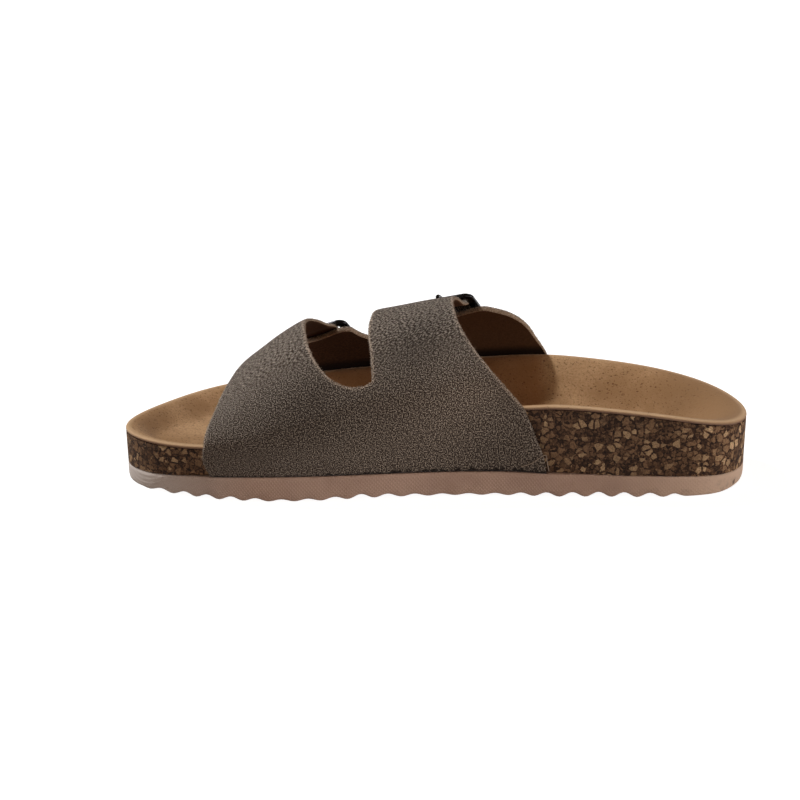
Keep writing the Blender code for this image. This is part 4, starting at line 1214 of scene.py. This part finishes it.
def fringe(outline, lifted):
    """Roots and tips of fibres that stand out from a cut, except along the sole."""
    after = np.roll(outline, -1, 0)
    run = after - outline
    length = np.linalg.norm(run, axis=1)
    pick = random.choice(len(outline), int(length.sum() / FIBRE_EVERY), p=length / length.sum())
    share = random.random(len(pick))[:, None]
    places = outline[pick] + run[pick] * share
    out = np.stack([run[pick, 1], -run[pick, 0]], 1) / length[pick, None]
    out = np.where(within(places + out * STEP_OUT, outline)[:, None], -out, out)
    keep = np.abs(places[:, 0]) < QUARTER_GIRTH + WALL_GIRTH - FRINGE_STOPS
    places, out = places[keep], out[keep]
    points, normals = read_grid(FOOT, places), read_grid(FOOT_NORMAL, places)
    lift = tongue_lift(points, places) if lifted else np.zeros(len(points))
    height = lift + random.uniform(FIBRE_MARGIN, STRAP_THICKNESS - FIBRE_MARGIN, len(points))
    long = random.uniform(*FIBRE_LENGTH, len(points))
    ahead = read_grid(FOOT, places + out) - points
    ahead /= np.linalg.norm(ahead, axis=1)[:, None]
    stray = random.normal(0, FIBRE_STRAY, (len(points), 3))
    lean = random.uniform(*FIBRE_LEAN, (len(points), 1))
    roots = points + normals * height[:, None] - ahead * FIBRE_ROOT
    return roots, roots + (ahead + normals * lean + stray) * long[:, None]


roots, tips = (np.concatenate(part) for part in zip(fringe(INNER_CUT, True), fringe(OUTER_CUT, False)))
lengthwise = (tips - roots) / np.linalg.norm(tips - roots, axis=1)[:, None]
first_side = np.cross(lengthwise, ODD_WAY)
first_side /= np.linalg.norm(first_side, axis=1)[:, None]
second_side = np.cross(lengthwise, first_side)
# A spike has three root corners, turned about its length by these angles, and one tip
SPIKE_TURNS = (0.0, 2.1, 4.2)
corners = [roots + FIBRE_WIDTH * (first_side * math.cos(k) + second_side * math.sin(k)) for k in SPIKE_TURNS]
spikes = np.stack([*corners, tips], 1).reshape(-1, 3)
one_spike = np.array([(0, 2, 1), (0, 1, 3), (1, 2, 3), (2, 0, 3)])
spike_faces = (np.arange(len(roots))[:, None, None] * 4 + one_spike).reshape(-1, 3).tolist()
add_piece("suede_fringe", spikes, spike_faces, [fibre_finish.material])

# %% Loose thread
THREAD_RADIUS, THREAD_STEP, THREAD_SIDES, THREAD_UP = 0.2, 0.6, 6, (0.0, -1.0, 0.3)
# Way of the thread over the foot of the rear strap: girth, x, height
THREAD = (
    (-80.2, 34.2, 1.75), (-79.6, 36.5, 2.1), (-78.4, 39.5, 2.2), (-77.0, 42.2, 2.2), (-76.2, 44.2, 2.2),
    (-78.4, 44.9, 2.1), (-81.2, 45.7, 1.9),
)
thread_places = np.array(THREAD)[:, :2]
lifted = read_grid(FOOT_NORMAL, thread_places) * np.array(THREAD)[:, 2:]
thread_path = open_curve(read_grid(FOOT, thread_places) + lifted, THREAD_STEP)
points, faces = bar_along(thread_path, THREAD_RADIUS, THREAD_RADIUS, THREAD_UP, THREAD_SIDES, False)
mend(add_piece("loose_thread", points, faces, [fibre_finish.material]))

# %% [markdown]
# ## Folds that hold the buckles
# Each outer arm is folded back round the buckle's bar, with a slit in the middle for the prong. The fold is a
# thin ribbon bent into a teardrop, so its section is a path with a wall on each side, run across the strap.

# %% Teardrop folds
FOLD_WALL, BAR_RADIUS, SLIT_HALF, FOLD_HALF = 0.9, 1.0, 1.15, 10.9
# Way of the ribbon before and after it goes round the bar: along, height
FOLD_RISES = ((4.7, 1.0), (4.45, 2.0))
FOLD_FALLS = ((8.6, 2.9), (9.6, 2.1), (11.4, 1.75), (13.0, 1.5))
FOLD_STEP, FOLD_STATIONS, FOLD_GIRTH = 0.35, 9, 25


def fold_section():
    """Closed outline (along, height) of the ribbon that rises from the arm, rounds the bar and falls."""
    bar, middle = FRAME_LENGTH / 2, BAR_RADIUS + GAP + FOLD_WALL / 2
    turns = np.radians(np.linspace(190, 25, 22))
    round_bar = [(bar + middle * math.cos(k), HEEL_BAR_LIFT + middle * math.sin(k)) for k in turns]
    path = open_curve([*FOLD_RISES, *round_bar, *FOLD_FALLS], FOLD_STEP)
    run = np.gradient(path, axis=0)
    side = np.stack([-run[:, 1], run[:, 0]], 1) / np.linalg.norm(run, axis=1)[:, None] * FOLD_WALL / 2
    return np.concatenate([path + side, (path - side)[::-1]])


section = fold_section()
count = len(section)
# An end of the ribbon is closed by faces between its two walls
end_faces = np.array([(k, k + 1, count - 2 - k, count - 1 - k) for k in range(count // 2 - 1)])
for name, buckle in BUCKLES.items():
    points, faces, flat = [], [], []
    for start, stop in ((-FOLD_HALF, -SLIT_HALF), (SLIT_HALF, FOLD_HALF)):
        first = len(points)
        stations = np.linspace(start, stop, FOLD_STATIONS)
        points += [buckle.space(a, b, h) for b in stations for a, h in section]
        flat += [(along, b) for b in stations for along in np.linspace(0, FOLD_GIRTH, count)]
        faces += (np.array(ring_faces(count, FOLD_STATIONS)) + first).tolist()
        for base in (first, len(points) - count):
            faces += (end_faces + base).tolist()
    fold = add_piece(f"strap_fold_{name}", points, faces, [suede.material], None, ("upper",))
    # Far from any cut edge, high above the seam and with neither painted light nor shade
    for value, what in ((5.0, "edge"), (40.0, "above_seam"), (1.0, "tone")):
        point_value(fold, what, np.full(len(points), value))
    point_place(fold, "on_cut", flat)
    mend(fold, 50)

# %% [markdown]
# ## Buckles
# The frames are black-plated rectangles with rounded corners; the bar inside the fold is thinner. The prong
# is a wire that hooks round that bar, comes up through the strap and rests on the far bar. Both are bars run
# along a path, because a bevelled curve can't change its width along the way as easily.

# %% Black plating
plating = Finish("black nickel plating", 0.2, Metallic=1.0)
smear = plating.noise(3.0, 4, 0.6)
plating.set(Base_Color=plating.mix(plating.span(smear, 0.3, 0.7), srgb(38, 37, 39), srgb(62, 60, 62)))
plating.set(Roughness=plating.span(plating.noise(1.2, 4, 0.7), 0.3, 0.75, 0.14, 0.34))
plating.set(Normal=plating.bump(plating.noise(2.0, 3), 0.02, 0.5))
plating.tell()

# %% Lines of the frames and prongs
FRAME_WIDTH, FRAME_BAR, FRAME_THICKNESS, CORNER = 26.0, 2.0, 1.1, 2.2
PRONG_RADIUS, PRONG_STEP = 0.8, 0.5
# The prong between its hook and the far bar: along, height
PRONG_RISES = ((3.9, 7.0), (2.0, 7.9))
FRAME_SIDES, PRONG_SIDES = 16, 14
# The thin bar runs this far past each side of the strap
BAR_MARGIN = 0.4
half_a, half_b = FRAME_LENGTH / 2, FRAME_WIDTH / 2


def frame_line():
    """Centre line (along, across) of a frame and the half width of its bar."""
    line, wide = [], []
    for sign_a, sign_b, start in ((-1, -1, 270), (-1, 1, 180), (1, 1, 90), (1, -1, 360)):
        for angle in np.radians(np.linspace(start, start - 90, 10)):
            line.append((sign_a * (half_a - CORNER) + CORNER * math.cos(angle),
                         sign_b * (half_b - CORNER) + CORNER * math.sin(angle)))
            wide.append(FRAME_BAR)
        if (sign_a, sign_b) == (1, 1):
            inside = np.linspace(1, -1, 9) * (TONGUE_WIDTH / 2 + BAR_MARGIN)
            line += [(half_a, b) for b in inside]
            wide += [BAR_RADIUS] * len(inside)
    return line, np.array(wide)


def frame_lift(buckle, a):
    """Height of the flat frame off the foot at a along the strap."""
    return buckle.front_bar + (HEEL_BAR_LIFT - buckle.front_bar) * (a + half_a) / FRAME_LENGTH


def prong_line(buckle):
    """Centre line (along, height) of a prong, from its hook to its tip."""
    hook = BAR_RADIUS + GAP + PRONG_RADIUS
    turns = np.radians(np.linspace(-100, 110, 14))
    line = [(half_a + hook * math.cos(k), HEEL_BAR_LIFT + hook * math.sin(k)) for k in turns]
    over = buckle.front_bar + FRAME_THICKNESS + GAP + PRONG_RADIUS
    return [*line, *PRONG_RISES, (-2.5, over + 0.7), (-half_a, over),
            (-half_a - 1.5, over - 0.6), (-half_a - 2.6, over - 1.7)]


def plated(name, node, points, faces):
    """Black-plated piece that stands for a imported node."""
    mend(add_piece(name, points, faces, [plating.material], None, (node,)), 60)


print("frames", FRAME_LENGTH, "by", FRAME_WIDTH, "mm between bar centres")

# %% Frames and prongs
line, wide = frame_line()
for name, buckle in BUCKLES.items():
    path = [buckle.space(a, b, frame_lift(buckle, a)) for a, b in line]
    points, faces = bar_along(path, FRAME_THICKNESS, wide, buckle.n, FRAME_SIDES, True)
    plated(f"buckle_frame_{name}_plated", f"buckle_frame_{name}", points, faces)
    path = open_curve([buckle.space(a, 0.0, h) for a, h in prong_line(buckle)], PRONG_STEP)
    from_end = np.minimum(np.arange(len(path)), np.arange(len(path))[::-1])
    taper = PRONG_RADIUS * np.sqrt(np.minimum(from_end / 2 + 0.5, 1))
    points, faces = bar_along(path, taper, taper, buckle.w, PRONG_SIDES, False)
    plated(f"buckle_prong_{name}_plated", f"buckle_prong_{name}", points, faces)

# %% [markdown]
# ## A pale floor, soft light and the camera
# The shoe stands on a white sweep that glows, so that it stays white. One light from the toe side and above
# throws the straps' shadow on the footbed; a dim warm surround and two broad fills lighten the rest. Lamps
# near the shoe would do as well, but far lights fall evenly on its whole length. The camera looks square at
# the inner side from eighteen degrees above, far off with a long lens, which keeps the sole's lines almost
# parallel.

# %% Floor
FLOOR_SIZE, FLOOR_GLOW = 12.0, 0.93
FLOOR_GREY, FLOOR_PALE = srgb(168, 168, 168), srgb(172, 172, 172)
floor_finish = Finish("white sweep", 0.9, Specular_IOR_Level=0.1)
floor_finish.set(Base_Color=floor_finish.mix(floor_finish.noise(400, 2), FLOOR_GREY, FLOOR_PALE))
floor_finish.set(Emission_Color=(1.0, 1.0, 1.0, 1.0), Emission_Strength=FLOOR_GLOW)
floor_finish.tell()
bpy.ops.mesh.primitive_grid_add(x_subdivisions=4, y_subdivisions=4, size=FLOOR_SIZE)
floor = bpy.context.object
floor.name = "white_floor"
floor.data.materials.append(floor_finish.material)
# The floor's glow doesn't light the shoe from below
floor.visible_diffuse = False
print("floor", FLOOR_SIZE, "m wide")

# %% Warm surround, darker below
SURROUND_LOW, SURROUND_HIGH, SURROUND_STRENGTH = (0.75, 0.5, 0.34, 1.0), (1.0, 0.74, 0.54, 1.0), 0.18
# Height of the view direction from which the surround starts to lighten
LIGHTENS_FROM = -0.6
world = bpy.data.worlds.new("studio surround")
bpy.context.scene.world = world
world.use_nodes = True
nodes, links = world.node_tree.nodes, world.node_tree.links
direction = nodes.new("ShaderNodeSeparateXYZ")
links.new(nodes.new("ShaderNodeTexCoord").outputs["Generated"], direction.inputs[0])
blend = nodes.new("ShaderNodeValToRGB")
blend.color_ramp.elements[0].color = SURROUND_LOW
blend.color_ramp.elements[1].color = SURROUND_HIGH
rise = nodes.new("ShaderNodeMapRange")
rise.inputs["From Min"].default_value = LIGHTENS_FROM
links.new(direction.outputs["Z"], rise.inputs["Value"])
links.new(rise.outputs[0], blend.inputs[0])
links.new(blend.outputs[0], nodes["Background"].inputs["Color"])
nodes["Background"].inputs["Strength"].default_value = SURROUND_STRENGTH
print("surround strength", SURROUND_STRENGTH)

# %% Light from the toe side and two soft fills
# Far lights: name, strength, colour, spread in degrees, direction that the light goes
SUNS = (
    ("toe side light", 2.4, (0.94, 0.98, 1.0), 4, (0.5, -0.23, -0.73)),
    ("heel side fill", 2.4, (1.0, 0.98, 0.95), 30, (-0.95, 0.3, -0.02)),
    ("toe side fill", 0.75, (1.0, 0.98, 0.96), 40, (0.75, 0.65, -0.1)),
)
for name, strength, colour, spread, direction in SUNS:
    light = bpy.data.lights.new(name, "SUN")
    light.color = colour
    light.energy = strength
    light.angle = math.radians(spread)
    lamp = bpy.data.objects.new(name, light)
    lamp.rotation_euler = Vector(direction).to_track_quat("-Z", "Y").to_euler()
    bpy.context.scene.collection.objects.link(lamp)
    print(name, "of strength", strength)
bpy.context.scene.view_settings.view_transform = "Standard"

# %% Camera
CAMERA_TARGET = (np.array((-15.5, 0.0, 28.8)) + PLACE) * MM
CAMERA_DISTANCE, CAMERA_ELEVATION = 1.218, math.radians(18)
LENS, SENSOR_WIDTH = 130, 36
camera_data = bpy.data.cameras.new("photo camera")
camera_data.lens = LENS
camera_data.sensor_width = SENSOR_WIDTH
camera = bpy.data.objects.new("photo camera", camera_data)
away = Vector((0, -math.cos(CAMERA_ELEVATION), math.sin(CAMERA_ELEVATION)))
camera.location = Vector(CAMERA_TARGET) + away * CAMERA_DISTANCE
camera.rotation_euler = (-away).to_track_quat("-Z", "Y").to_euler()
bpy.context.scene.collection.objects.link(camera)
bpy.context.scene.camera = camera
print("camera", CAMERA_DISTANCE, "m away with a", LENS, "mm lens")
